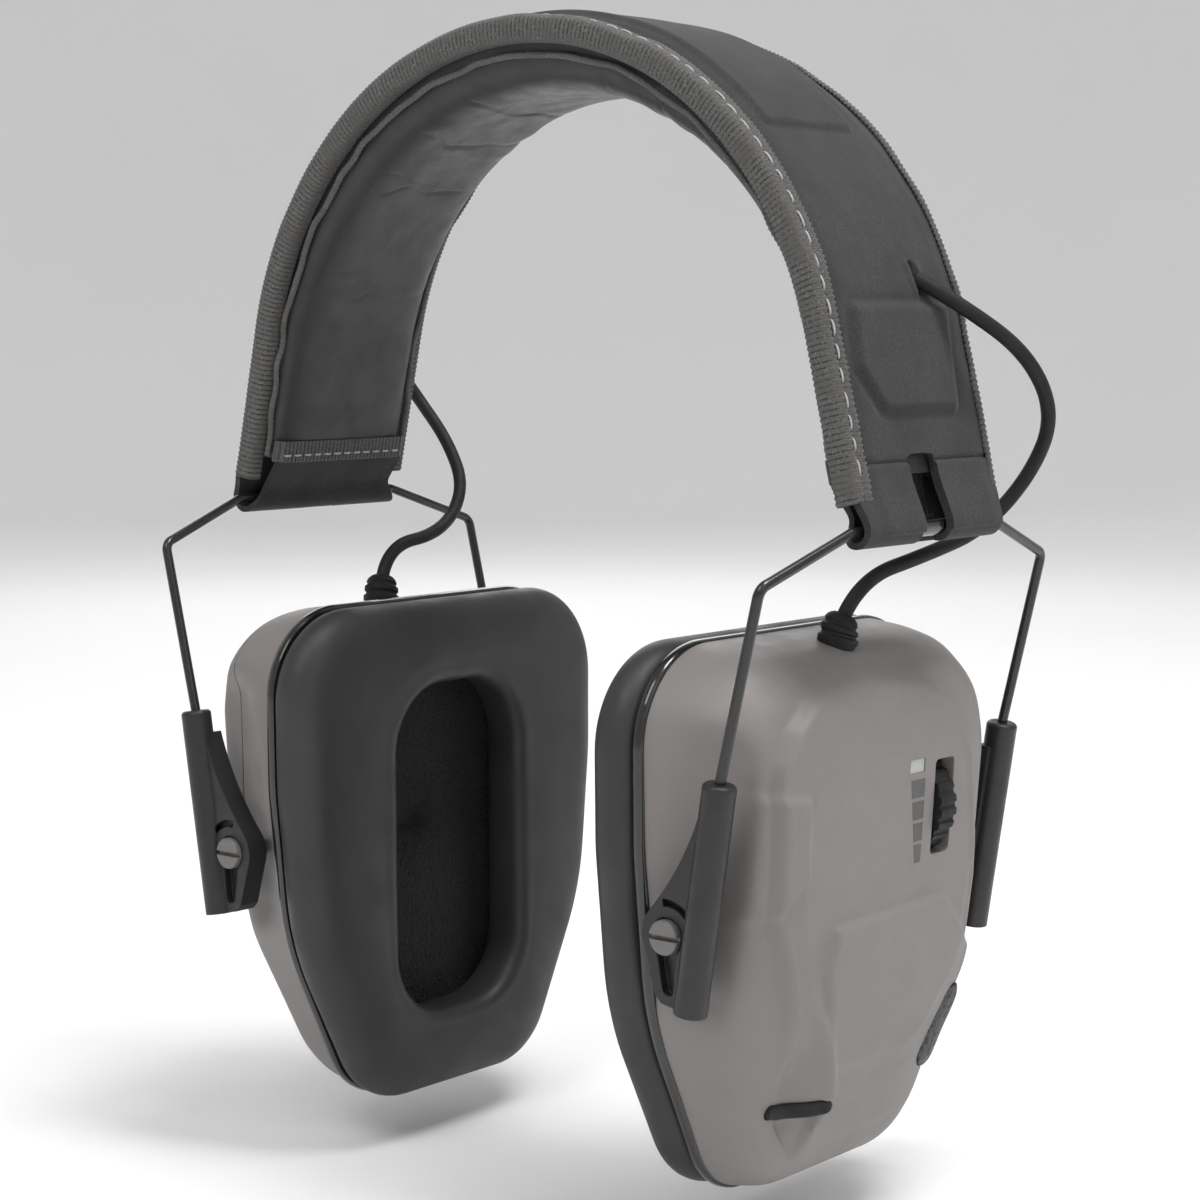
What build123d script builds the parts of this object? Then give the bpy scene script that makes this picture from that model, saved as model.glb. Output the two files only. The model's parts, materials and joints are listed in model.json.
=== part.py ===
"""Folding electronic earmuff: padded headband, two wire yokes, four sliding arms and two ear cups.

Millimetres, +Z up. The origin is the crown of the headband pad, where the head touches it.
+X is the wearer's right and +Y the wearer's front. Most pieces are drawn on the right and mirrored.
"""

from build123d import *
import os
from math import cos, pi, radians, sin, tan

# ---------------------------------------------------------------- driving dimensions
# Headband: an arc with a straight leg at each end, built up in layers from the outside in.
PAD_DROP = 84.0            # pad crown down to the yoke hinge axes
BAND_R = 78.3              # outside of the arc
BAND_THICK = 14.1          # whole band at the crown, pad included
BAND_HALF = 24.0
ARC_HALF = 77.0            # degrees from the crown to each leg
BINDING = 0.8              # edge binding tape
BOUND_DEPTH = 5.0          # depth of the bound edge
WIDE_FLAP = 18.6           # from the centre to the outer flap's free edge
NARROW_FLAP = 22.2
COVER = 1.4                # outer fabric
SPRING = (2.25, 3.35)      # depths of the steel headband spring
SPRING_HALF = 15.0
CLIP = (3.4, 4.2)          # depths of the hinge clips' tails
PAD_BACK = 4.3
PAD_HALF = 19.4
PAD_END = 8.5              # depth of the thinner pad at the legs
LOOP_R = 3.4               # hem loop round the yoke wire
LOOP_BORE = 2.25
SLOT_HALF = 4.6            # slot in the hem loop, round the hinge clip
SLOT_BACK = 1.5            # how far inward of the hinge axis the slot reaches
CLIP_HALF = 3.6

# Yokes: spring wire, hinged in the headband's clips.
HINGE_X = 82.3
WIRE_R = 1.0
WIRE_LEAN = 13.8           # degrees inward from vertical
YOKE_EXIT = 23.1           # half the straight stretch inside the hem loop
YOKE_HALF = 47.0           # half the distance between the legs
ELBOW = (79.5, -8.5)       # x, and drop below the hinge
ENGAGED = 10.0             # wire inside each arm at rest
BORE_DEPTH = 25.5
RUN = 0.07                 # radial running clearance

# Arms: a tube on the wire, with a plate down to the pivot screw.
ARM_TOP = (70.85, -43.7)   # x, and drop below the hinge
ARM_LEAN = 9.0
ARM_LENGTH = 43.5
ARM_R = 3.15
ARM_FACE = 43.1            # inner face, from the centre plane
ARM_PLATE = 4.9
SCREW_DOWN = 30.7          # down the tube's axis from its top
SCREW_IN = 6.8             # inward of the tube's axis
BOSS_R = 5.6
SCREW_R = 2.0
SCREW_HEAD_R = 3.3

# Cups, by depth from the cushion's face outward, and height from the pivot.
FACE_TO_PIVOT = 22.5
CUSHION = 11.7
RING = (11.8, 14.1)
FOAM = (14.3, 17.0)
BAFFLE = (18.8, 20.3)
SPEAKER_UP = -12.0
SHELL_START = 14.2
WALL = 2.6
POSTS = ((28.5, 20), (11, -33))
# The shell's sections: depth, tilt, and how far the side, top and bottom have drawn in.
SECTIONS = (
    (14.2, 0.0, 2.4, 0.4, 0.5),
    (22.0, 1.0, 3.4, 1.5, 2.0),
    (28.5, 2.5, 4.8, 4.0, 5.5),
    (33.5, 4.0, 8.0, 8.5, 12.0),
    (36.5, 5.0, 13.0, 15.0, 20.0),
    (38.0, 5.0, 18.5, 22.0, 27.0),
)

# Controls on the right cup: y and height from the pivot.
DIAL = (15.0, 17.3)
DIAL_R = 10.5
DIAL_DEPTH = 31.6
DIAL_HALF = 2.6
DIAL_SLOT = (6.6, 19.9)
DIAL_TEETH = 24
POT_R = 4.9
CELL_R = 5.25
CELL_HALF = 22.25
CELL_DEPTH = 28.9
CELL_UPS = (15.5, 26.7)
DOOR_DEPTH = 29.5
DOOR_UP = 8.0
DOOR_GAP = 0.35

# Cords: one per side, from the headband's cover to the cup's gland.
CORD_R = 1.45
GLAND_DEPTH = 25.3
GLAND_R = 3.55
GLAND_TOP = (26.0, 0.9, 53.0)
GLAND_LEAN = (0.20, 0.33, 0.92)
GLAND_RUN = 9.0            # straight cord above the gland
RIGHT_ROUTE = (
    (73.0, 10.3, -37.95),
    (80.5, 15.5, -43.2),
    (88.0, 27.0, -52.5),
    (88.6, 36.0, -64.5),
    (81.5, 39.0, -76.5),
    (75.3, 31.5, -87.0),
    (70.8, 19.5, -91.2),
)
LEFT_ROUTE = (
    (-73.0, 10.3, -37.95),
    (-81.5, 16.5, -43.5),
    (-87.6, 28.0, -52.5),
    (-84.6, 35.5, -63.5),
    (-74.5, 35.0, -73.5),
    (-66.5, 32.0, -84.0),
    (-63.6, 21.5, -93.6),
)

HINGE_Z = -PAD_DROP
ARC_Z = BAND_THICK - BAND_R
INNER_LEAF = HINGE_Z + 9.6     # top of the hem's inner leaf, where the pad ends
PAD_FOOT = HINGE_Z + 10.2
BINDING_FOOT = HINGE_Z + 5.3


def along_arm(down, inward):
    """Point (x, z) on a right arm, down the tube's axis and inward of it."""
    lean = radians(ARM_LEAN)
    x = ARM_TOP[0] - down * sin(lean) - inward * cos(lean)
    z = HINGE_Z + ARM_TOP[1] - down * cos(lean) + inward * sin(lean)
    return x, z


PIVOT_X, PIVOT_Z = along_arm(SCREW_DOWN, SCREW_IN)
FACE_X = PIVOT_X - FACE_TO_PIVOT


def save(part, name):
    """Label one finished piece and write its STEP file."""
    part.label = name
    export_step(part, f"parts/{name}.step")


def save_pair(part, name):
    """Write a right-hand piece, and its mirror image for the left side."""
    with BuildPart() as left:
        mirror(part, about=Plane.YZ)
    save(part, f"right_{name}")
    save(left.part, f"left_{name}")


# ---------------------------------------------------------------- headband
def band_point(depth, z):
    """x on the right leg, at a depth below the outside and a height."""
    half = radians(ARC_HALF)
    radius = BAND_R - depth
    return radius * sin(half) + (ARC_Z + radius * cos(half) - z) / tan(half)


def band_layer(outer, inner, foot, low_y, high_y):
    """A horseshoe layer between two depths, down to a foot height."""
    half = radians(ARC_HALF)
    with BuildPart() as layer:
        with BuildSketch(Plane.XZ.offset(-high_y)):
            with BuildLine():
                for depth in (outer, inner):
                    radius = BAND_R - depth
                    end_x = radius * sin(half)
                    end_z = ARC_Z + radius * cos(half)
                    ThreePointArc((-end_x, end_z), (0, ARC_Z + radius), (end_x, end_z))
                    Line((end_x, end_z), (band_point(depth, foot), foot))
                    Line((-end_x, end_z), (-band_point(depth, foot), foot))
                for side in (-1, 1):
                    Line((side * band_point(outer, foot), foot), (side * band_point(inner, foot), foot))
            make_face()
        extrude(amount=high_y - low_y)
    return layer.part


def make_cover():
    """Outer fabric with its hem loops, slots, crown panel and embossed tabs."""
    edge = BAND_HALF - BINDING
    loop_edge = BAND_HALF - 1.5
    outer_leaf = BINDING_FOOT - 0.3
    with BuildPart() as tabs:
        for side in (-1, 1):
            with BuildSketch(Plane.YZ):
                with BuildLine():
                    FilletPolyline(
                        (-15.0, -42.5), (18.3, -42.5), (16.0, -63.5), (-11.0, -63.5), (-16.5, -54.0),
                        radius=[2, 2, 2, 5, 4], close=True,
                    )
                make_face()
            extrude(amount=side * 95)
        with BuildSketch(Plane.XY):
            RectangleRounded(118, 31, 4)
        extrude(amount=20)
    raised = band_layer(BINDING - 0.6, BINDING + 0.2, HINGE_Z + 15, -edge, edge) & tabs.part
    with BuildPart() as cover:
        add(band_layer(BINDING, BINDING + COVER, outer_leaf, -edge, edge))
        add(raised)
        for side in (-1, 1):
            with BuildSketch(Plane.XZ.offset(-loop_edge)):
                with Locations((side * HINGE_X, HINGE_Z)):
                    Circle(LOOP_R)
                with BuildLine():
                    Polyline(
                        (side * (HINGE_X - LOOP_R), HINGE_Z),
                        (side * band_point(PAD_END, INNER_LEAF), INNER_LEAF),
                        (side * band_point(PAD_END - COVER, INNER_LEAF), INNER_LEAF),
                        (side * (HINGE_X - LOOP_R + COVER), HINGE_Z),
                        close=True,
                    )
                make_face()
                with BuildLine():
                    Polyline(
                        (side * (HINGE_X + LOOP_R), HINGE_Z),
                        (side * band_point(BINDING, outer_leaf), outer_leaf),
                        (side * band_point(BINDING + COVER, outer_leaf), outer_leaf),
                        (side * (HINGE_X + LOOP_R - COVER), HINGE_Z),
                        close=True,
                    )
                make_face()
            extrude(amount=2 * loop_edge)
            with Locations(Location((side * HINGE_X, 0, HINGE_Z), (90, 0, 0))):
                Cylinder(LOOP_BORE, 3 * BAND_HALF, mode=Mode.SUBTRACT)
            slot_top = HINGE_Z + 13.8
            with BuildSketch(Plane.XZ.offset(-SLOT_HALF)):
                with BuildLine():
                    Polyline(
                        (side * (HINGE_X - SLOT_BACK), HINGE_Z - 4.8),
                        (side * (HINGE_X - SLOT_BACK), HINGE_Z),
                        (side * (HINGE_X - LOOP_BORE), HINGE_Z),
                        (side * band_point(CLIP[1] + 0.25, slot_top), slot_top),
                        (side * (HINGE_X + 6), slot_top),
                        (side * (HINGE_X + 6), HINGE_Z - 4.8),
                        close=True,
                    )
                make_face()
            extrude(amount=2 * SLOT_HALF, mode=Mode.SUBTRACT)
    return cover.part


def make_binding(side, flap_edge):
    """Folded tape round one bound edge: two flaps and the wall between them."""
    wall = sorted((side * (BAND_HALF - BINDING), side * BAND_HALF))
    flap = sorted((side * flap_edge, side * BAND_HALF))
    inner_flap = sorted((side * (PAD_HALF + 0.1), side * BAND_HALF))
    with BuildPart() as binding:
        add(band_layer(0, BINDING, BINDING_FOOT, *flap))
        add(band_layer(0, BOUND_DEPTH, BINDING_FOOT, *wall))
        add(band_layer(BOUND_DEPTH - BINDING + 0.05, BOUND_DEPTH, BINDING_FOOT, *inner_flap))
    return binding.part


def make_pad():
    """Foam pad with its facing, and the thin flanges that the binding holds."""
    half = radians(ARC_HALF)
    inner_r = (BAND_R + ARC_Z * cos(half) - PAD_END) / (1 - cos(half))
    outer_r = BAND_R - PAD_BACK
    ends = []
    with BuildPart() as pad:
        with BuildSketch(Plane.XZ.offset(-PAD_HALF)):
            with BuildLine():
                for radius, middle_z, depth in ((outer_r, ARC_Z, PAD_BACK), (inner_r, -inner_r, PAD_END)):
                    end_x = radius * sin(half)
                    end_z = middle_z + radius * cos(half)
                    ThreePointArc((-end_x, end_z), (0, middle_z + radius), (end_x, end_z))
                    foot_x = band_point(depth, PAD_FOOT)
                    Line((end_x, end_z), (foot_x, PAD_FOOT))
                    Line((-end_x, end_z), (-foot_x, PAD_FOOT))
                    ends.append(foot_x)
                Line((ends[0], PAD_FOOT), (ends[1], PAD_FOOT))
                Line((-ends[0], PAD_FOOT), (-ends[1], PAD_FOOT))
            make_face()
        extrude(amount=2 * PAD_HALF)
        arcs = pad.edges().filter_by(GeomType.CIRCLE).filter_by(lambda edge: edge.radius < outer_r - 1)
        legs = pad.edges().filter_by(
            lambda edge: edge.geom_type == GeomType.LINE
            and abs(abs(edge.center().Y) - PAD_HALF) < 0.01
            and abs(abs(edge.center().X) - band_point(PAD_END, edge.center().Z)) < 0.01
        )
        fillet(arcs + legs, 3.6)
        for side in (-1, 1):
            near = sorted((side * (SPRING_HALF + 0.2), side * PAD_HALF))
            far = sorted((side * PAD_HALF, side * (BAND_HALF - BINDING - 0.05)))
            add(band_layer(SPRING[0], PAD_BACK + 0.1, PAD_FOOT + 5, *near))
            add(band_layer(SPRING[0], BOUND_DEPTH - BINDING, PAD_FOOT + 5, *far))
    return pad.part


def rivet_pins(side):
    """The two rivets that hold a hinge clip to the spring."""
    with BuildPart() as pins:
        for up in (18, 22.5):
            depth = (SPRING[0] + CLIP[1]) / 2
            z = HINGE_Z + up
            flare = side * ARC_HALF
            with Locations(Location((side * band_point(depth, z), 0, z), (0, flare, 0))):
                Cylinder(1.1, CLIP[1] - SPRING[0])
    return pins.part


def make_clip(side):
    """Curled strip: a tail on the spring and a hook round the yoke wire."""
    bore = WIRE_R + RUN
    shell = LOOP_BORE - 0.13
    top = HINGE_Z + 25
    with BuildPart() as clip:
        with BuildSketch(Plane.XZ.offset(-CLIP_HALF)):
            with Locations((side * HINGE_X, HINGE_Z)):
                Circle(shell)
            with BuildLine():
                Polyline(
                    (side * (HINGE_X - shell), HINGE_Z),
                    (side * band_point(CLIP[1], HINGE_Z + 12), HINGE_Z + 12),
                    (side * band_point(CLIP[1], top), top),
                    (side * band_point(CLIP[0], top), top),
                    (side * band_point(CLIP[0], HINGE_Z + 12), HINGE_Z + 12),
                    (side * (HINGE_X - bore), HINGE_Z),
                    close=True,
                )
            make_face()
            with Locations((side * HINGE_X, HINGE_Z)):
                Circle(bore, mode=Mode.SUBTRACT)
            with BuildLine():
                Polyline(
                    (side * HINGE_X, HINGE_Z),
                    (side * (HINGE_X + 4), HINGE_Z + 1.2),
                    (side * (HINGE_X + 2), HINGE_Z + 5),
                    (side * (HINGE_X - 0.4), HINGE_Z + 4),
                    close=True,
                )
            make_face(mode=Mode.SUBTRACT)
        extrude(amount=2 * CLIP_HALF)
        add(rivet_pins(side), mode=Mode.SUBTRACT)
    return clip.part


def make_pad_tape(side):
    """Grosgrain tape across the end of the pad."""
    tape = band_layer(PAD_END + 0.02, PAD_END + 0.62, INNER_LEAF + 0.1, -PAD_HALF + 3.7, PAD_HALF - 3.7)
    with BuildPart() as keep:
        with Locations((side * 70, 0, INNER_LEAF + 2.6)):
            Box(20, 60, 5)
    return tape & keep.part


def make_headband():
    save(make_cover(), "headband_cover")
    save(make_pad(), "headband_pad")
    save(make_binding(-1, WIDE_FLAP), "rear_binding")
    save(make_binding(1, NARROW_FLAP), "front_binding")
    with BuildPart() as spring:
        add(band_layer(*SPRING, HINGE_Z + 15, -SPRING_HALF, SPRING_HALF))
        for side in (-1, 1):
            add(rivet_pins(side), mode=Mode.SUBTRACT)
    save(spring.part, "headband_spring")
    for side, name in ((1, "right"), (-1, "left")):
        save(make_clip(side), f"{name}_hinge_clip")
        save(rivet_pins(side), f"{name}_clip_rivets")
        save(make_pad_tape(side), f"{name}_pad_tape")


# ---------------------------------------------------------------- yokes, arms and pivot screws
def make_yoke():
    """One bent wire: a hinge length, two shoulders and two legs."""
    lean = radians(WIRE_LEAN)
    top_z = HINGE_Z + ARM_TOP[1]
    tip = (ARM_TOP[0] - ENGAGED * sin(lean), top_z - ENGAGED * cos(lean))
    elbow = (ELBOW[0], HINGE_Z + ELBOW[1])
    with BuildPart() as yoke:
        with BuildLine() as path:
            FilletPolyline(
                (tip[0], -YOKE_HALF, tip[1]),
                (elbow[0], -YOKE_HALF, elbow[1]),
                (HINGE_X, -YOKE_EXIT, HINGE_Z),
                (HINGE_X, YOKE_EXIT, HINGE_Z),
                (elbow[0], YOKE_HALF, elbow[1]),
                (tip[0], YOKE_HALF, tip[1]),
                radius=2.5,
            )
        with BuildSketch(Plane(path.line @ 0, z_dir=path.line % 0)):
            Circle(WIRE_R)
        sweep()
    return yoke.part


def make_arm():
    """Front right arm: bored tube, pivot plate, raised boss, crescent and tapered recess."""
    lean = radians(WIRE_LEAN)
    arm_lean = radians(ARM_LEAN)
    top = along_arm(0, 0)
    bottom = along_arm(ARM_LENGTH, 0)
    plate_y = ARM_FACE + ARM_PLATE
    with BuildPart() as arm:
        with BuildSketch(Plane((bottom[0], YOKE_HALF, bottom[1]), z_dir=(sin(arm_lean), 0, cos(arm_lean)))):
            Circle(ARM_R)
        extrude(amount=ARM_LENGTH)
        fillet(arm.edges().sort_by(Axis.Z)[-1], 0.9)
        with BuildSketch(Plane.XZ.offset(-plate_y)):
            with BuildLine():
                Polyline(along_arm(5, 0), along_arm(5, ARM_R - 0.4))
                ThreePointArc(along_arm(5, ARM_R - 0.4), along_arm(17, 6.2), along_arm(27.2, 11.6))
                ThreePointArc(along_arm(27.2, 11.6), along_arm(31, 12.6), along_arm(34, 11.6))
                Polyline(
                    along_arm(34, 11.6),
                    along_arm(42, 7.8),
                    along_arm(43.2, 6.2),
                    along_arm(43.5, 0),
                    along_arm(5, 0),
                )
            make_face()
        extrude(amount=ARM_PLATE)
        with BuildSketch(Plane.XZ.offset(-plate_y)):
            with Locations(along_arm(SCREW_DOWN, SCREW_IN)):
                Circle(BOSS_R + 1.4)
                Circle(BOSS_R, mode=Mode.SUBTRACT)
            with BuildLine():
                Polyline(
                    along_arm(SCREW_DOWN - 12, 10.5),
                    along_arm(SCREW_DOWN, SCREW_IN),
                    along_arm(SCREW_DOWN + 2, 3.2 - ARM_R),
                    along_arm(SCREW_DOWN - 12, 3.2 - ARM_R),
                    close=True,
                )
            make_face(mode=Mode.INTERSECT)
        extrude(amount=1.6, mode=Mode.SUBTRACT)
        with BuildSketch(Plane.XZ.offset(-plate_y)):
            with BuildLine():
                FilletPolyline(
                    along_arm(SCREW_DOWN, SCREW_IN + 3.0),
                    along_arm(41.3, 6.0),
                    along_arm(41.3, 3.6),
                    along_arm(SCREW_DOWN, SCREW_IN - 2.6),
                    radius=[0.0, 1.0, 1.0, 0.0],
                    close=True,
                )
            make_face()
        extrude(amount=1.8, mode=Mode.SUBTRACT)
        mouth = (top[0] + 2 * sin(lean), YOKE_HALF, top[1] + 2 * cos(lean))
        with BuildSketch(Plane(mouth, z_dir=(-sin(lean), 0, -cos(lean)))):
            Circle(WIRE_R + RUN)
        extrude(amount=BORE_DEPTH + 2, mode=Mode.SUBTRACT)
        with BuildSketch(Plane.XZ.offset(-plate_y - 2)):
            with Locations(along_arm(SCREW_DOWN, SCREW_IN)):
                Circle(SCREW_R + RUN)
        extrude(amount=ARM_PLATE + 4, mode=Mode.SUBTRACT)
        with BuildSketch(Plane.XZ.offset(-plate_y)):
            with Locations(along_arm(SCREW_DOWN, SCREW_IN)):
                Circle(SCREW_HEAD_R + 0.25)
        extrude(amount=1.8, mode=Mode.SUBTRACT)
    return arm.part


def make_screw(side):
    """Pivot screw with a slotted head, front or rear of the right cup."""
    seat = ARM_FACE + ARM_PLATE - 1.8 + 0.1
    head = 3.0
    with BuildPart() as screw:
        with BuildSketch(Plane.XZ.offset(-seat)):
            with Locations((PIVOT_X, PIVOT_Z)):
                Circle(SCREW_HEAD_R)
        extrude(amount=-head)
        fillet(screw.edges().sort_by(Axis.Y)[-1], 0.5)
        with BuildSketch(Plane.XZ.offset(-seat)):
            with Locations((PIVOT_X, PIVOT_Z)):
                Circle(SCREW_R)
        extrude(amount=seat - ARM_FACE + 0.15)
        with BuildSketch(Plane.XZ.offset(-ARM_FACE + 0.15)):
            with Locations((PIVOT_X, PIVOT_Z)):
                Circle(1.5)
        extrude(amount=6)
        with Locations((PIVOT_X, seat + head, PIVOT_Z)):
            Box(8, 2 * 1.1, 0.9, mode=Mode.SUBTRACT)
    if side > 0:
        return screw.part
    return mirror(screw.part, about=Plane.XZ)


def make_carriers():
    save_pair(make_yoke(), "yoke_wire")
    front = make_arm()
    with BuildPart() as rear:
        mirror(front, about=Plane.XZ)
    save_pair(front, "front_arm")
    save_pair(rear.part, "rear_arm")
    with BuildPart() as screws:
        add(make_screw(1))
        add(make_screw(-1))
    save_pair(screws.part, "pivot_screws")


# ---------------------------------------------------------------- ear cups
def cup_plane(depth, tilt=0.0):
    """Plane across the right cup, facing outward and a little down."""
    lean = radians(tilt)
    return Plane((FACE_X + depth, 0, PIVOT_Z), x_dir=(0, 1, 0), z_dir=(cos(lean), 0, -sin(lean)))


def outline(inset, top=None, bottom=None):
    """Closed cup outline, drawn in by an inset at the sides, top and bottom."""
    top = inset if top is None else top
    bottom = inset if bottom is None else bottom
    right = [
        (46.8 - inset, 51.5 - top),
        (46.6 - inset, 14 - 0.35 * inset),
        (43.4 - inset, -20 + 0.45 * inset),
        (25 - 0.62 * inset, -57 + bottom),
    ]
    radii = [30.5 - 0.75 * inset, 60 - 1.6 * inset, 60 - 1.6 * inset, 16 - 0.4 * inset]
    left = [(-x, y) for x, y in reversed(right)]
    return FilletPolyline(*right, *left, radius=radii + radii[::-1], close=True)


def cup_slab(depths, inset, top=None, bottom=None):
    """A flat slab of the cup's outline between two depths."""
    with BuildPart() as slab:
        with BuildSketch(cup_plane(depths[0])):
            with BuildLine():
                outline(inset, top, bottom)
            make_face()
        extrude(amount=depths[1] - depths[0])
    return slab.part


def dome(shrink):
    """The shell's outer form, drawn in all round by a distance."""
    with BuildPart() as form:
        for number, (depth, tilt, inset, top, bottom) in enumerate(SECTIONS):
            sunk = 0 if number == 0 else shrink
            with BuildSketch(cup_plane(depth - sunk, tilt)):
                with BuildLine():
                    outline(inset + shrink, top + shrink, bottom + shrink)
                make_face()
        loft()
    return form.part


def skin(shallow, deep):
    """The layer of the shell between two distances below its surface."""
    with BuildPart() as layer:
        add(dome(shallow))
        add(dome(deep), mode=Mode.SUBTRACT)
    return layer.part


def across(depth, y, up):
    """A point on the right cup by depth, y and height."""
    return FACE_X + depth, y, PIVOT_Z + up


def block(low, high):
    """A box between two corners given as depth, y and height."""
    size = [b - a for a, b in zip(low, high)]
    middle = [(a + b) / 2 for a, b in zip(low, high)]
    with BuildPart() as box:
        with Locations(across(*middle)):
            Box(*size)
    return box.part


def slot_prism(origin, direction, long_way, length, width, reach):
    """A rounded slot pushed along a direction, to cut or keep a patch of the shell."""
    with BuildPart() as prism:
        with BuildSketch(Plane(across(*origin), x_dir=long_way, z_dir=direction)):
            RectangleRounded(length, width, min(length, width) * 0.3)
        extrude(amount=reach)
    return prism.part


MIC_CENTRE = (32.2, 25.5, -29.5)
MIC_AXIS = (0.86, 0.42, -0.28)
MIC_LONG = (-0.12, -0.34, -0.93)
MIC_SLOT = (18.5, 10.0)
JACK_SLOT = (15.0, 2.9)


def behind_mic(distance):
    """A point on the microphone slot's axis, inward of the shell's surface."""
    return tuple(at - distance * along for at, along in zip(MIC_CENTRE, MIC_AXIS))


def mic_prism(grow):
    length, width = MIC_SLOT
    return slot_prism(behind_mic(6.5), MIC_AXIS, MIC_LONG, length + grow, width + grow, 30)


def jack_prism(grow):
    length, width = JACK_SLOT
    return slot_prism((20, -19, -37.5), (1, 0, 0), (0, 1, -0.085), length + grow, width + grow, 40)


def mark_prisms():
    """Four volume marks, narrowing downward."""
    with BuildPart() as marks:
        with BuildSketch(cup_plane(30)):
            for step in range(4):
                top = 23.6 - 4.3 * step
                wide = 4.8 - 0.75 * step
                with BuildLine():
                    Polyline(
                        (8.3, top), (8.3, top - 3.6), (8.9 - wide, top - 3.6), (8.3 - wide, top),
                        close=True,
                    )
                make_face()
        extrude(amount=20)
    return marks.part


def panel_prism():
    """The raised panel on the outside of the right cup."""
    with BuildPart() as panel:
        with BuildSketch(cup_plane(20)):
            with BuildLine():
                FilletPolyline(
                    (-17, 37), (24, 37), (34, 22), (34, -6), (19, -2), (-17, -2), (-29, -14),
                    (-29, 2), (-23, 9), (-23, 24), (-29, 25.5), (-25, 33),
                    radius=[6, 8, 6, 3, 4, 4, 2, 3, 3, 0.8, 0.8, 6],
                    close=True,
                )
            make_face()
        extrude(amount=30)
    return panel.part


def make_blank():
    """The shell that both cups share, with its bosses, posts and mic opening."""
    hole_y = ARM_FACE - 0.15
    with BuildPart() as posts:
        for y, up in POSTS:
            for side in (-1, 1):
                with BuildSketch(Plane(across(BAFFLE[1] + 0.05, side * y, up), z_dir=(1, 0, 0))):
                    Circle(3)
                extrude(amount=30)
                with BuildSketch(Plane(across(BAFFLE[1] + 0.05, side * y, up), z_dir=(1, 0, 0))):
                    Circle(1.4)
                extrude(amount=7.5, mode=Mode.SUBTRACT)
        for side in (-1, 1):
            y, up = POSTS[0]
            with Locations(across(24, side * (y + 9.5), up)):
                Box(7, 14, 2)
    inside_posts = posts.part & dome(0.5)
    with BuildPart() as bosses:
        for side in (-1, 1):
            with BuildSketch(Plane.XZ.offset(-side * hole_y)):
                with Locations((PIVOT_X, PIVOT_Z)):
                    Circle(4.6)
            extrude(amount=side * 9)
    core = dome(WALL)
    with BuildPart() as shell:
        add(dome(0))
        for side in (-1, 1):
            middle = along_arm(22, 0)
            lean = radians(ARM_LEAN)
            with BuildSketch(Plane((middle[0] - 2, side * 51.6, middle[1]), z_dir=(sin(lean), 0, cos(lean)))):
                Circle(11.5)
            extrude(amount=27, both=True, mode=Mode.SUBTRACT)
        add(core, mode=Mode.SUBTRACT)
        add(inside_posts)
        add(bosses.part)
        for side in (-1, 1):
            with BuildSketch(Plane.XZ.offset(-side * (hole_y + 1))):
                with Locations((PIVOT_X, PIVOT_Z)):
                    Circle(1.5)
            extrude(amount=side * 7.2, mode=Mode.SUBTRACT)
        with BuildSketch(Plane(across(GLAND_DEPTH, 0, 40), z_dir=(0, 0, 1))):
            Circle(GLAND_R + 0.05)
        extrude(amount=20, mode=Mode.SUBTRACT)
        add(mic_prism(0), mode=Mode.SUBTRACT)
    return shell.part


def make_right_shell(blank):
    y, up = DIAL
    wide, high = DIAL_SLOT
    raised = skin(-0.55, 0.3) & panel_prism()
    with BuildPart() as shell:
        add(blank)
        add(raised)
        add(block((30, y - wide / 2, up - high / 2), (50, y + wide / 2, up + high / 2)), mode=Mode.SUBTRACT)
        add(led_prism(), mode=Mode.SUBTRACT)
        add(skin(-1.5, 0.0) & mark_prisms(), mode=Mode.SUBTRACT)
        add(jack_prism(0), mode=Mode.SUBTRACT)
    save(shell.part, "right_shell")


def led_prism():
    return block((30, 3.0, 24.9), (50, 8.0, 27.6))


def make_left_shell(blank):
    gap_corner = (DOOR_DEPTH - DOOR_GAP, -60, DOOR_UP - DOOR_GAP)
    with BuildPart() as right:
        add(blank)
        add(block(gap_corner, (60, 60, 60)), mode=Mode.SUBTRACT)
    with BuildPart() as door:
        add(skin(0, WALL) & block((DOOR_DEPTH, -60, DOOR_UP), (60, 60, 60)))
    for part, name in ((right.part, "left_shell"), (door.part, "battery_door")):
        with BuildPart() as left:
            mirror(part, about=Plane.YZ)
        save(left.part, name)


def make_cushion():
    with BuildPart() as cushion:
        add(cup_slab((0, CUSHION), 0.0))
        fillet(cushion.edges().group_by(Axis.X)[0], 5.2)
        fillet(cushion.edges().group_by(Axis.X)[-1], 3.6)
        with BuildSketch(cup_plane(0)):
            with Locations((0, -2.75)):
                RectangleRounded(37.4, 72.1, 14.5)
        extrude(amount=CUSHION, mode=Mode.SUBTRACT)
    save_pair(cushion.part, "cushion")


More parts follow.
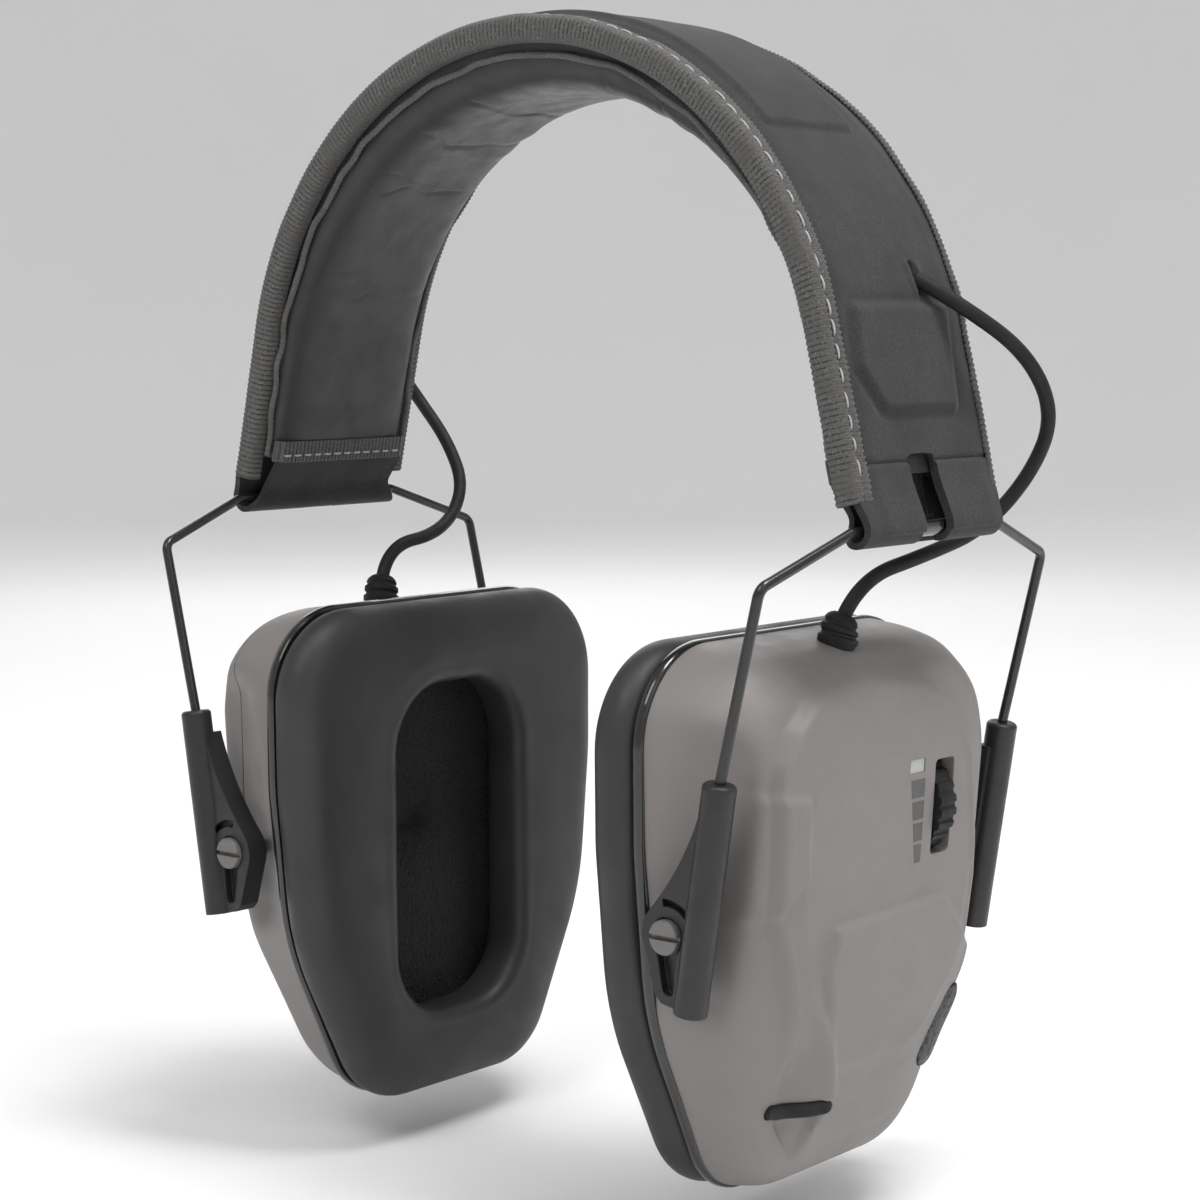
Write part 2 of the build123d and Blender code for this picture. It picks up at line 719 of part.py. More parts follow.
def make_cup_insides():
    with BuildPart() as ring:
        add(cup_slab(RING, 2.4, 0.6, 0.6))
        with BuildSketch(cup_plane(RING[0])):
            with BuildLine():
                outline(14.0)
            make_face()
        extrude(amount=RING[1] - RING[0], mode=Mode.SUBTRACT)
    save_pair(ring.part, "cushion_ring")
    save_pair(cup_slab(FOAM, 11.0), "foam_liner")
    with BuildPart() as baffle:
        add(cup_slab(BAFFLE, 7.5))
        with BuildSketch(cup_plane(BAFFLE[0])):
            with Locations((0, SPEAKER_UP)):
                Circle(14)
            with Locations(*[(side * y, up) for y, up in POSTS for side in (-1, 1)]):
                Circle(1.6)
            with Locations((-40, 0), (40, 0)):
                Rectangle(13.5, 10.4)
        extrude(amount=BAFFLE[1] - BAFFLE[0], mode=Mode.SUBTRACT)
    save_pair(baffle.part, "speaker_baffle")
    with BuildPart() as speaker:
        for low, high, radius in ((BAFFLE[1] + 0.05, 22.2, 16), (22.2, 26.6, 9)):
            with BuildSketch(Plane(across(low, 0, SPEAKER_UP), z_dir=(1, 0, 0))):
                Circle(radius)
            extrude(amount=high - low)
    save_pair(speaker.part, "speaker")
    with BuildPart() as screws:
        for y, up in POSTS:
            for side in (-1, 1):
                with BuildSketch(Plane(across(BAFFLE[0] - 1.6, side * y, up), z_dir=(1, 0, 0))):
                    Circle(2.7)
                extrude(amount=1.55)
                with BuildSketch(Plane(across(BAFFLE[0] - 0.1, side * y, up), z_dir=(1, 0, 0))):
                    Circle(1.38)
                extrude(amount=8)
    save_pair(screws.part, "baffle_screws")
    with BuildPart() as gland:
        for up in (44, 51):
            with BuildSketch(Plane(across(GLAND_DEPTH, 0, up), z_dir=(0, 0, 1))):
                Circle(GLAND_R)
        with BuildSketch(Plane(across(*GLAND_TOP), z_dir=GLAND_LEAN)):
            Circle(2.5)
        loft(ruled=True)
    save_pair(gland.part, "gland")
    with BuildPart() as mesh:
        add(skin(0.4, 1.6) & mic_prism(-0.06))
    save_pair(mesh.part, "mic_cover")
    with BuildPart() as capsule:
        with BuildSketch(Plane(across(*behind_mic(8.0)), x_dir=MIC_LONG, z_dir=MIC_AXIS)):
            Circle(3)
        extrude(amount=3)
    save_pair(capsule.part, "microphone")


def make_controls():
    """The right cup's electronics and controls, and the left cup's batteries."""
    y, up = DIAL
    with BuildPart() as board:
        add(block((26.9, -24.8, -29.5), (28.5, 8.3, 31)))
    save(board.part, "circuit_board")
    with BuildPart() as knob:
        with BuildSketch(Plane(across(DIAL_DEPTH, y + DIAL_HALF, up), z_dir=(0, -1, 0))):
            Circle(DIAL_R)
            with PolarLocations(DIAL_R + 0.3, DIAL_TEETH):
                Circle(0.8, mode=Mode.SUBTRACT)
            Circle(1.5 + RUN, mode=Mode.SUBTRACT)
        extrude(amount=2 * DIAL_HALF)
    save(knob.part, "volume_wheel")
    with BuildPart() as pot:
        with BuildSketch(Plane(across(DIAL_DEPTH, y - DIAL_HALF - 0.3, up), z_dir=(0, -1, 0))):
            Circle(POT_R)
        extrude(amount=3.4)
        with BuildSketch(Plane(across(DIAL_DEPTH, y - DIAL_HALF - 0.4, up), z_dir=(0, 1, 0))):
            Circle(1.5)
        extrude(amount=2 * DIAL_HALF)
    save(pot.part, "volume_pot")
    with BuildPart() as window:
        add(skin(-0.75, 1.2) & led_prism())
    save(window.part, "led_window")
    with BuildPart() as marks:
        add(skin(-0.6, 0.0) & mark_prisms())
    save(marks.part, "volume_marks")
    with BuildPart() as flap:
        add(skin(-0.5, 1.2) & jack_prism(-0.1))
    save(flap.part, "jack_cover")
    with BuildPart() as tray:
        add(block((22.8, -24.2, 9.4), (29.3, 24.2, 32.8)))
        for cell_up in CELL_UPS:
            with BuildSketch(Plane(across(CELL_DEPTH, -22.9, cell_up), z_dir=(0, 1, 0))):
                Circle(CELL_R + 0.1)
            extrude(amount=45.8, mode=Mode.SUBTRACT)
    with BuildPart() as cells:
        for cell_up in CELL_UPS:
            with BuildSketch(Plane(across(CELL_DEPTH, -CELL_HALF, cell_up), z_dir=(0, 1, 0))):
                Circle(CELL_R)
            extrude(amount=2 * CELL_HALF)
    with BuildPart() as contacts:
        for cell_up in CELL_UPS:
            for side in (-1, 1):
                cell_end = across(CELL_DEPTH, side * (CELL_HALF + 0.02), cell_up)
                with BuildSketch(Plane(cell_end, z_dir=(0, side, 0))):
                    Circle(3.5)
                extrude(amount=0.5)
    names = ("battery_tray", "batteries", "battery_contacts")
    for part, name in zip((tray.part, cells.part, contacts.part), names):
        with BuildPart() as left:
            mirror(part, about=Plane.YZ)
        save(left.part, name)


def make_cord(route, side, name):
    """A thin cord from the headband to a cup's gland, as runs joined by large arcs."""
    points = [Vector(*point) for point in route]
    for rise in (GLAND_RUN, 0.0):
        x, y, z = Vector(*across(*GLAND_TOP)) + Vector(*GLAND_LEAN).normalized() * rise
        points.append(Vector(side * x, y, z))
    radii = []
    for before, here, after in zip(points, points[1:], points[2:]):
        turn = (here - before).get_angle(after - here)
        shorter = min((here - before).length, (after - here).length)
        radii.append(0.45 * shorter / tan(radians(turn) / 2))
    with BuildPart() as cord:
        with BuildLine() as path:
            FilletPolyline(*points, radius=radii)
        with BuildSketch(Plane(path.line @ 0, z_dir=path.line % 0)):
            Circle(CORD_R)
        sweep()
    length = sum(edge.length for edge in path.edges())
    print(name, "radii", [round(r, 1) for r in radii], "length", round(length, 1))
    print(name, "volume ratio", round(cord.part.volume / (pi * CORD_R**2 * length), 4))
    save(cord.part, name)


os.makedirs("parts", exist_ok=True)
make_headband()
make_carriers()
shell_blank = make_blank()
make_right_shell(shell_blank)
make_left_shell(shell_blank)
make_cushion()
make_cup_insides()
make_controls()
make_cord(RIGHT_ROUTE, 1, "right_cord")
make_cord(LEFT_ROUTE, -1, "left_cord")
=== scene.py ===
"""Looks of the folding electronic earmuff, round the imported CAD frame. Lengths are in millimetres until mesh()."""

import json

import bmesh
import bpy
import numpy as np
from math import atan2, cos, pi, radians, sin, sqrt
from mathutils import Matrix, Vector
from mathutils.bvhtree import BVHTree


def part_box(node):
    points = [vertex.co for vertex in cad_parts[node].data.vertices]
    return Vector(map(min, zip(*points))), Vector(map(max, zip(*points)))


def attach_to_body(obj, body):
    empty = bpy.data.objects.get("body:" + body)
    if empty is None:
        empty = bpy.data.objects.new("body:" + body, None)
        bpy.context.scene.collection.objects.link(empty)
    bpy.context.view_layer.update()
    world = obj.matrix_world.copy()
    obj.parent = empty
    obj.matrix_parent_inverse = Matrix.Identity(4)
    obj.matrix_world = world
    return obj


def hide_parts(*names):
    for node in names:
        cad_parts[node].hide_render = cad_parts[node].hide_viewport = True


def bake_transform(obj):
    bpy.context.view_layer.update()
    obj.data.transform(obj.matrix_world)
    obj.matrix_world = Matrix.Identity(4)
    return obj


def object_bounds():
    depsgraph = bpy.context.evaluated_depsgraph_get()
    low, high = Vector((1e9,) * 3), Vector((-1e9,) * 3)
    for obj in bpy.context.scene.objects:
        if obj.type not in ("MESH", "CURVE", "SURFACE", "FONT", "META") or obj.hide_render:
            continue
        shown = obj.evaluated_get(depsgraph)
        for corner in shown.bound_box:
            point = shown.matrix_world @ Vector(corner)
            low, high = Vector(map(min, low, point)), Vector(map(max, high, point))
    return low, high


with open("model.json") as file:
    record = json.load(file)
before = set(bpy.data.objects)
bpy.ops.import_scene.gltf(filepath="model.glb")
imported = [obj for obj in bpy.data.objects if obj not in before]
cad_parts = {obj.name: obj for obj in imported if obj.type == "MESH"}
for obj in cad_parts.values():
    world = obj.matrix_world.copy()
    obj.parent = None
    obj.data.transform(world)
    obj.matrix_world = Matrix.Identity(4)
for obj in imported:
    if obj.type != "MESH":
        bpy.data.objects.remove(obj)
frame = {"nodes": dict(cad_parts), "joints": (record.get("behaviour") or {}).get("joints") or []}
cad_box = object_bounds()
MM = 0.001
RNG = np.random.default_rng(7)


def node_box(name):
    """Lowest and highest corner of a CAD node, in millimetres."""
    low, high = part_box(name)
    return np.array(low) / MM, np.array(high) / MM


# ---------------------------------------------------------------- sizes taken from the frame
JOINTS = {joint["name"]: joint for joint in frame["joints"]}
HINGE_X, _, HINGE_Z = (value / MM for value in JOINTS["right_fold"]["pos_m"])
PIVOT_Z = JOINTS["right_tilt"]["pos_m"][2] / MM
FACE_X = node_box("right_cushion")[0][0]
BAND_TOP = node_box("front_binding")[1][2]
BINDING_FOOT = node_box("front_binding")[0][2]
LOOP_R = node_box("headband_cover")[1][0] - HINGE_X
LEAF_TOP = node_box("right_pad_tape")[0][2] - 0.1
TAPE_HEIGHT = 5.0

# The band: an arc and two legs, by distance along its outside from the crown, and depth.
BAND_R = 78.3
ARC_Z = BAND_TOP - BAND_R
ARC_HALF = radians(77)
ARC_LENGTH = BAND_R * ARC_HALF
PAD_END = 8.5
PAD_INNER_R = (BAND_R + ARC_Z * cos(ARC_HALF) - PAD_END) / (1 - cos(ARC_HALF))
PAD_HALF = 19.4
COVER = 1.4
COVER_HALF = 23.1
RIB = 1.1
STITCH_PERIOD = 4.3
STITCH_LENGTH = 3.0

# The cups: depth from the cushion's face, inset of the side, top and bottom, and tilt in degrees.
SECTIONS = (
    (14.2, 0.0, 2.4, 0.4, 0.5),
    (22.0, 1.0, 3.4, 1.5, 2.0),
    (28.5, 2.5, 4.8, 4.0, 5.5),
    (33.5, 4.0, 8.0, 8.5, 12.0),
    (36.5, 5.0, 13.0, 15.0, 20.0),
    (38.0, 5.0, 18.5, 22.0, 27.0),
)
SIDES = {"right": 1, "left": -1}


# ---------------------------------------------------------------- mesh helpers
def link(name, data):
    """A new object in the scene."""
    obj = bpy.data.objects.new(name, data)
    bpy.context.scene.collection.objects.link(obj)
    return obj


def mesh(name, points, faces, material, marks=None):
    """An object from points in millimetres. marks are extra numbers per point, by attribute name."""
    data = bpy.data.meshes.new(name)
    data.from_pydata((np.asarray(points, float) * MM).tolist(), [], [list(face) for face in faces])
    for key, values in (marks or {}).items():
        attribute = data.attributes.new(key, "FLOAT", "POINT")
        attribute.data.foreach_set("value", np.asarray(values, np.float32))
    face_out(data)
    data.polygons.foreach_set("use_smooth", [True] * len(data.polygons))
    data.materials.append(material.data)
    return link(name, data)


def face_out(data):
    """Turns every face of a closed mesh outward."""
    work = bmesh.new()
    work.from_mesh(data)
    bmesh.ops.recalc_face_normals(work, faces=work.faces)
    work.to_mesh(data)
    work.free()


def grid_faces(rows, columns, loop=False, caps=True):
    """Quads of a tube of rows; loop joins the last row to the first, caps closes both ends."""
    faces = []
    for row in range(rows if loop else rows - 1):
        below = (row + 1) % rows
        for column in range(columns):
            after = (column + 1) % columns
            faces.append(
                (row * columns + column, row * columns + after, below * columns + after, below * columns + column)
            )
    if caps and not loop:
        faces.append(tuple(range(columns))[::-1])
        faces.append(tuple((rows - 1) * columns + column for column in range(columns)))
    return faces


def grid(name, rows, material, loop=False, marks=None):
    """A mesh from an array of rows of points, each row a closed ring."""
    rows = np.asarray(rows, float)
    count, columns = rows.shape[:2]
    return mesh(name, rows.reshape(-1, 3), grid_faces(count, columns, loop), material, marks)


def joined(name, parts, material):
    """One mesh from several lists of (points, faces)."""
    points, faces, start = [], [], 0
    for part_points, part_faces in parts:
        points.append(np.asarray(part_points, float))
        faces += [tuple(index + start for index in face) for face in part_faces]
        start += len(part_points)
    return mesh(name, np.vstack(points), faces, material)


def run_lengths(points):
    """Distance along a line to each of its points."""
    return np.concatenate([[0], np.cumsum(np.linalg.norm(np.diff(points, axis=0), axis=1))])


def bell(value, width, power=2):
    """1 at zero, falling away smoothly over a width."""
    return np.exp(-((value / width) ** power))


def smoothstep(low, high, value):
    """0 below low, 1 above high, and smooth between; low may be the larger."""
    t = np.clip((value - low) / (high - low), 0, 1)
    return t * t * (3 - 2 * t)


def wander(length, step, amount, seed):
    """A smooth random line: its value at every distance along a length."""
    knots = np.random.default_rng(seed).normal(0, amount, int(length / step) + 4)
    places = np.arange(len(knots)) * step

    def value(distance):
        t = np.interp(distance, places, np.arange(len(knots)))
        low = np.clip(t.astype(int), 0, len(knots) - 2)
        part = t - low
        part = part * part * (3 - 2 * part)
        return knots[low] * (1 - part) + knots[low + 1] * part

    return value


def attach(piece, body, node=None):
    """Says which body a piece rides, and the CAD node that it stands for."""
    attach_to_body(piece, body)
    if node:
        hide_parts(node)


def finish_part(piece, body, node, degrees=40):
    """Shades a piece that stands for a CAD node, and attaches it."""
    sharp_by_angle(piece, degrees)
    attach(piece, body, node)


def polygon_distance(u, v, corners, radius=0.0):
    """Signed distance from points to a polygon with rounded corners, negative inside."""
    corners = np.asarray(corners, float)
    best = np.full(np.shape(u), 1e9)
    inside = np.zeros(np.shape(u), bool)
    for (ax, ay), (bx, by) in zip(corners, np.roll(corners, -1, axis=0)):
        ex, ey = bx - ax, by - ay
        t = np.clip(((u - ax) * ex + (v - ay) * ey) / (ex * ex + ey * ey), 0, 1)
        best = np.minimum(best, np.hypot(u - ax - t * ex, v - ay - t * ey))
        crosses = (ay > v) != (by > v)
        with np.errstate(divide="ignore", invalid="ignore"):
            inside ^= crosses & (u < ex * (v - ay) / (ey if ey else 1e-9) + ax)
    return np.where(inside, -best, best) - radius


def difference(obj, cutter, operation="DIFFERENCE"):
    """Applies an exact boolean with a cutter, and deletes the cutter."""
    modifier = obj.modifiers.new("cut", "BOOLEAN")
    modifier.operation = operation
    modifier.solver = "EXACT"
    modifier.use_self = False
    modifier.object = cutter
    apply_modifiers(obj)
    bpy.data.objects.remove(cutter)


def apply_modifiers(obj):
    """Turns what the modifiers show into the object's own mesh."""
    data = bpy.data.meshes.new_from_object(obj.evaluated_get(bpy.context.evaluated_depsgraph_get()))
    obj.modifiers.clear()
    obj.data = data


def sharp_by_angle(obj, degrees=35):
    """Smooth shading, with edges sharper than an angle kept crisp."""
    work = bmesh.new()
    work.from_mesh(obj.data)
    limit = radians(degrees)
    for face in work.faces:
        face.smooth = True
    for edge in work.edges:
        edge.smooth = len(edge.link_faces) == 2 and edge.calc_face_angle(0) < limit
    work.to_mesh(obj.data)
    work.free()


# ---------------------------------------------------------------- materials
class Material:
    """A Principled material whose colour, roughness and bump are built up from procedural layers."""

    def __init__(self, name, colour, roughness, **sockets):
        self.data = bpy.data.materials.new(name)
        self.data.use_nodes = True
        self.tree = self.data.node_tree
        self.shader = self.tree.nodes["Principled BSDF"]
        self.shader.inputs["Base Color"].default_value = (*colour, 1)
        self.shader.inputs["Roughness"].default_value = roughness
        for key, value in sockets.items():
            self.shader.inputs[key.replace("_", " ")].default_value = value
        self.colour = colour
        self.relief = None
        self.place = self.node("ShaderNodeTexCoord").outputs["Object"]

    def node(self, kind, **settings):
        node = self.tree.nodes.new(kind)
        for key, value in settings.items():
            setattr(node, key, value)
        return node

    def wire(self, source, target):
        self.tree.links.new(source, target)

    def noise(self, size, detail=3.0, stretch=None):
        """Noise with features of a size in millimetres."""
        texture = self.node("ShaderNodeTexNoise")
        texture.inputs["Scale"].default_value = 1 / (size * MM)
        texture.inputs["Detail"].default_value = detail
        source = self.place
        if stretch:
            scale = self.node("ShaderNodeMapping")
            scale.inputs["Scale"].default_value = stretch
            self.wire(source, scale.inputs["Vector"])
            source = scale.outputs["Vector"]
        self.wire(source, texture.inputs["Vector"])
        return texture.outputs["Fac"]

    def cells(self, size):
        """Distance to the middle of cells of a size in millimetres."""
        texture = self.node("ShaderNodeTexVoronoi")
        texture.inputs["Scale"].default_value = 1 / (size * MM)
        self.wire(self.place, texture.inputs["Vector"])
        return texture.outputs["Distance"]

    def along(self, name, pitch):
        """A wave along a marked distance: 0 to 1, once every pitch."""
        mark = self.node("ShaderNodeAttribute", attribute_name=name).outputs["Fac"]
        wave = self.math("SINE", self.math("MULTIPLY", mark, 2 * pi / pitch))
        return self.math("MULTIPLY_ADD", wave, 0.5, 0.5)

    def layer(self, source):
        """A layer's socket: a number asks for cells, a tuple for noise, and a function makes its own."""
        if isinstance(source, float):
            return self.cells(source)
        return self.noise(*source) if isinstance(source, tuple) else source(self)

    def math(self, operation, *values):
        node = self.node("ShaderNodeMath", operation=operation)
        for socket, value in zip(node.inputs, values):
            if isinstance(value, (int, float)):
                socket.default_value = value
            else:
                self.wire(value, socket)
        return node.outputs[0]

    def remap(self, source, low, high, new_low, new_high):
        """A layer's values from low to high, spread over a new range."""
        node = self.node("ShaderNodeMapRange")
        for key, value in zip(("From Min", "From Max", "To Min", "To Max"), (low, high, new_low, new_high)):
            node.inputs[key].default_value = value
        self.wire(self.layer(source), node.inputs["Value"])
        return node.outputs["Result"]

    def tint(self, source, low, high, other):
        """Mixes another colour in where a source goes from low to high."""
        mix = self.node("ShaderNodeMix", data_type="RGBA")
        self.wire(self.remap(source, low, high, 0, 1), mix.inputs["Factor"])
        previous = self.shader.inputs["Base Color"]
        if previous.is_linked:
            self.wire(previous.links[0].from_socket, mix.inputs[6])
        else:
            mix.inputs[6].default_value = (*self.colour, 1)
        mix.inputs[7].default_value = (*other, 1)
        self.wire(mix.outputs[2], previous)
        return self

    def rough(self, source, low, high, new_low, new_high):
        self.wire(self.remap(source, low, high, new_low, new_high), self.shader.inputs["Roughness"])
        return self

    def bump(self, source, height, strength=1.0):
        """Adds relief of a height in millimetres."""
        node = self.node("ShaderNodeBump")
        node.inputs["Strength"].default_value = strength
        node.inputs["Distance"].default_value = height * MM
        self.wire(self.layer(source), node.inputs["Height"])
        return self.stack_normal(node)

    def round_edges(self, radius):
        """Softens the light on hard moulded edges."""
        node = self.node("ShaderNodeBevel", samples=6)
        node.inputs["Radius"].default_value = radius * MM
        return self.stack_normal(node)

    def stack_normal(self, node):
        """Puts a relief node on top of the ones before it."""
        if self.relief:
            self.wire(self.relief, node.inputs["Normal"])
        self.relief = node.outputs["Normal"]
        self.wire(self.relief, self.shader.inputs["Normal"])
        return self


def make_plain(name, colour, roughness):
    """A material with only slight changes in colour and roughness."""
    made = Material(name, colour, roughness)
    made.rough((2.0, 3), 0.3, 0.7, roughness * 0.85, min(1.0, roughness * 1.15))
    return made.tint((5.0, 2), 0.5, 0.8, tuple(value * 0.85 for value in colour))


SOFTSHELL = (
    Material("softshell fabric", (0.021, 0.021, 0.022), 0.92, Sheen_Weight=0.10, Sheen_Roughness=0.45)
    .tint((0.32, 2), 0.45, 0.68, (0.042, 0.042, 0.043))
    .tint((9.0, 4), 0.45, 0.75, (0.018, 0.018, 0.019))
    .bump((0.45, 3), 0.10, 0.8)
    .bump((5.0, 3), 0.25, 0.5)
)
GROSGRAIN = (
    Material("grosgrain tape", (0.088, 0.085, 0.082), 0.85, Sheen_Weight=0.15, Sheen_Roughness=0.4)
    # painted shade: a dark stripe on one flank of every rib, once per rib pitch
    .tint(lambda made: made.along("along", RIB), 0.40, 0.05, (0.018, 0.018, 0.017))
    .tint((0.35, 2), 0.5, 0.75, (0.165, 0.160, 0.155))
    .tint((6.0, 3), 0.45, 0.8, (0.078, 0.076, 0.073))
    .bump((0.22, 2), 0.07, 0.7)
)
THREAD = (
    Material("stitching thread", (0.42, 0.41, 0.395), 0.7, Sheen_Weight=0.2)
    .tint((0.5, 2), 0.4, 0.7, (0.40, 0.39, 0.375))
    .bump((0.15, 1, (3, 3, 3)), 0.03)
)
LEATHER = (
    Material("pad facing", (0.027, 0.026, 0.025), 0.42, Specular_IOR_Level=0.42)
    .bump(0.9, 0.035, 0.55)
    .bump((7.0, 3), 0.45, 0.45)
    .rough((5.0, 4), 0.35, 0.7, 0.38, 0.55)
    .tint((14.0, 3), 0.45, 0.75, (0.036, 0.034, 0.033))
)
VINYL = (
    Material("cushion vinyl", (0.027, 0.027, 0.028), 0.50, Specular_IOR_Level=0.40)
    .bump(0.55, 0.012, 0.5)
    .bump((11.0, 2), 0.35, 0.30)
    .rough((9.0, 3), 0.35, 0.7, 0.44, 0.58)
    .tint((20.0, 2), 0.45, 0.75, (0.032, 0.032, 0.033))
)
SHELL_PLASTIC = (
    Material("shell plastic", (0.205, 0.192, 0.185), 0.50, Specular_IOR_Level=0.40)
    .bump((0.35, 2), 0.012, 0.6)
    .rough((6.0, 3), 0.35, 0.7, 0.45, 0.56)
    .tint((26.0, 3), 0.4, 0.75, (0.195, 0.183, 0.177))
    .tint((0.7, 1), 0.70, 0.80, (0.225, 0.212, 0.204))
    .round_edges(0.35)
)
BLACK_PLASTIC = (
    Material("black plastic", (0.015, 0.015, 0.016), 0.38, Specular_IOR_Level=0.45)
    .bump((0.3, 2), 0.012, 0.6)
    .rough((4.0, 3), 0.3, 0.7, 0.34, 0.50)
    .tint((10.0, 3), 0.45, 0.75, (0.019, 0.019, 0.020))
    .round_edges(0.45)
)
GLOSS_BLACK = (
    Material("gloss black", (0.012, 0.012, 0.012), 0.16, Coat_Weight=0.4, Coat_Roughness=0.08)
    .rough((5.0, 3), 0.3, 0.7, 0.12, 0.26)
    .bump((2.5, 2), 0.01, 0.4)
    .round_edges(0.3)
)
RUBBER = (
    Material("black rubber", (0.010, 0.010, 0.010), 0.55, Specular_IOR_Level=0.3)
    .bump((0.28, 2), 0.02, 0.7)
    .rough((3.0, 3), 0.3, 0.7, 0.54, 0.72)
    .tint((7.0, 3), 0.45, 0.75, (0.016, 0.016, 0.016))
    .round_edges(0.3)
)
WIRE = (
    Material("coated wire", (0.016, 0.016, 0.017), 0.24)
    .rough((9.0, 2), 0.3, 0.7, 0.20, 0.28)
    .tint((14.0, 2), 0.4, 0.8, (0.020, 0.020, 0.021))
)
SCREW_METAL = (
    Material("screw metal", (0.155, 0.147, 0.141), 0.48, Metallic=0.15)
    .bump((0.35, 2, (1, 1, 5)), 0.012, 0.6)
    .rough((1.5, 3), 0.3, 0.7, 0.36, 0.50)
    .round_edges(0.25)
)
STEEL = (
    Material("plated steel", (0.16, 0.16, 0.165), 0.32, Metallic=1.0)
    .rough((1.5, 3, (1, 6, 1)), 0.3, 0.7, 0.22, 0.36)
    .bump((0.3, 2, (1, 8, 1)), 0.006, 0.5)
)
FOAM = (
    Material("open foam", (0.012, 0.012, 0.012), 0.95)
    .bump(0.8, 0.35, 0.9)
    # painted shade in the pores: the sunken cell middles darker, the raised cell edges lighter
    .tint(0.8, 0.15, 0.5, (0.022, 0.022, 0.022))
)
WINDOW = make_plain("window", (0.40, 0.42, 0.375), 0.35)
PRINT = make_plain("printed marks", (0.085, 0.083, 0.082), 0.55)
MIC_MESH = (
    Material("microphone mesh", (0.045, 0.044, 0.043), 0.5)
    # painted shade: the sunken cell middles nearly black, standing in for the shaded insides of the holes
    .tint(1.25, 0.46, 0.36, (0.006, 0.006, 0.006))
    .bump(1.25, 0.35, 0.8)
)
BOARD = make_plain("circuit board", (0.02, 0.10, 0.05), 0.45)
WRAP = make_plain("battery wrap", (0.10, 0.10, 0.11), 0.35)


# ---------------------------------------------------------------- camera, light and floor
CAMERA_PLACE = Vector((0.34535, -0.39887, -0.04849))
CAMERA_TARGET = Vector((0.00259, 0.0, -0.10317))
CAMERA_LENS = 76.43
CAMERA_ROLL = radians(-0.25)
LIGHT_TARGET = (0, 0, -0.1)
WORLD_STRENGTH = 0.40
FLOOR_GAP = 0.010
FLOOR_SIDES = 96


def make_camera():
    data = bpy.data.cameras.new("camera")
    data.sensor_width = 36
    data.lens = CAMERA_LENS
    data.clip_start = 0.01
    camera = link("camera", data)
    camera.location = CAMERA_PLACE
    camera.rotation_euler = (CAMERA_TARGET - CAMERA_PLACE).to_track_quat("-Z", "Y").to_euler()
    camera.rotation_euler.rotate_axis("Z", CAMERA_ROLL)
    bpy.context.scene.camera = camera


def make_light(name, place, size, power):
    """A white rectangle of light that faces the middle of the object."""
    data = bpy.data.lights.new(name, "AREA")
    data.shape = "RECTANGLE"
    data.size, data.size_y = size
    data.energy = power
    light = link(name, data)
    light.location = place
    light.rotation_euler = (Vector(LIGHT_TARGET) - Vector(place)).to_track_quat("-Z", "Y").to_euler()


def make_stage():
    """A pale round sweep: a flat floor that curves up into a wall all round."""
    floor_z = cad_box[0][2] - FLOOR_GAP
    flat, rise, wall = 1.4, 1.2, 2.6
    profile = [(0.02, 0), (flat, 0)]
    profile += [(flat + rise * sin(turn), rise * (1 - cos(turn))) for turn in np.linspace(0.1, pi / 2, 16)]
    profile.append((flat + rise, wall))
    around = np.linspace(0, 2 * pi, FLOOR_SIDES + 1)[:-1]
    rows = [[(r * cos(a), r * sin(a), floor_z + up) for a in around] for r, up in profile]
    points = np.array(rows).reshape(-1, 3) / MM
    made = Material("pale floor", (0.90, 0.90, 0.90), 0.9)
    made.tint((400.0, 2), 0.4, 0.7, (0.88, 0.88, 0.88))
    faces = grid_faces(len(profile), FLOOR_SIDES, caps=False) + [tuple(range(FLOOR_SIDES))]
    mesh("floor", points, faces, made)
    world = bpy.data.worlds.new("studio")
    world.use_nodes = True
    background = world.node_tree.nodes["Background"]
    background.inputs["Color"].default_value = (1, 1, 1, 1)
    background.inputs["Strength"].default_value = WORLD_STRENGTH
    bpy.context.scene.world = world
    bpy.context.scene.view_settings.view_transform = "Standard"
    make_light("key", (0.10, -0.85, 0.95), (0.6, 0.6), 5.6)
    make_light("side", (1.15, -0.25, 0.55), (0.5, 0.9), 1.9)
    make_light("top", (0.45, 0.10, 1.15), (0.5, 0.5), 15)
    make_light("rim", (-0.9, 0.9, 0.5), (0.8, 0.8), 3.5)


# ---------------------------------------------------------------- cords
CORD_D = 2.9
CORD_ROUTES = {     # from the slit down to the gland
    "right": (
        (73.0, 10.3, -37.95), (80.5, 15.5, -43.2), (88.0, 27.0, -52.5), (88.6, 36.0, -64.5), (81.5, 39.0, -76.5),
        (75.3, 31.5, -87.0), (70.8, 19.5, -91.2),
    ),
    "left": (
        (-73.0, 10.3, -37.95), (-81.5, 16.5, -43.5), (-87.6, 28.0, -52.5), (-84.6, 35.5, -63.5), (-74.5, 35.0, -73.5),
        (-66.5, 32.0, -84.0), (-63.6, 21.5, -93.6),
    ),
}
GLAND_TOP = (26.0, 0.9, 53.0)
GLAND_LEAN = Vector((0.20, 0.33, 0.92)).normalized()
GLAND_RUN = 9.0
CORD_CUTS = (0.36, 0.68)     # where a cord's three stretches meet, as shares of its length
CORD_STEP = 0.7


def spline_points(route):
    """Close points along the NURBS spline of a route."""
    data = bpy.data.curves.new("route", "CURVE")
    data.dimensions = "3D"
    data.resolution_u = 24
    spline = data.splines.new("NURBS")
    spline.points.add(len(route) - 1)
    for point, place in zip(spline.points, route):
        point.co = (*[value * MM for value in place], 1)
    spline.order_u = 3
    spline.use_endpoint_u = True
    holder = link("route", data)
    read = bpy.data.meshes.new_from_object(holder)
    points = np.array([vertex.co for vertex in read.vertices]) / MM
    bpy.data.objects.remove(holder)
    return points


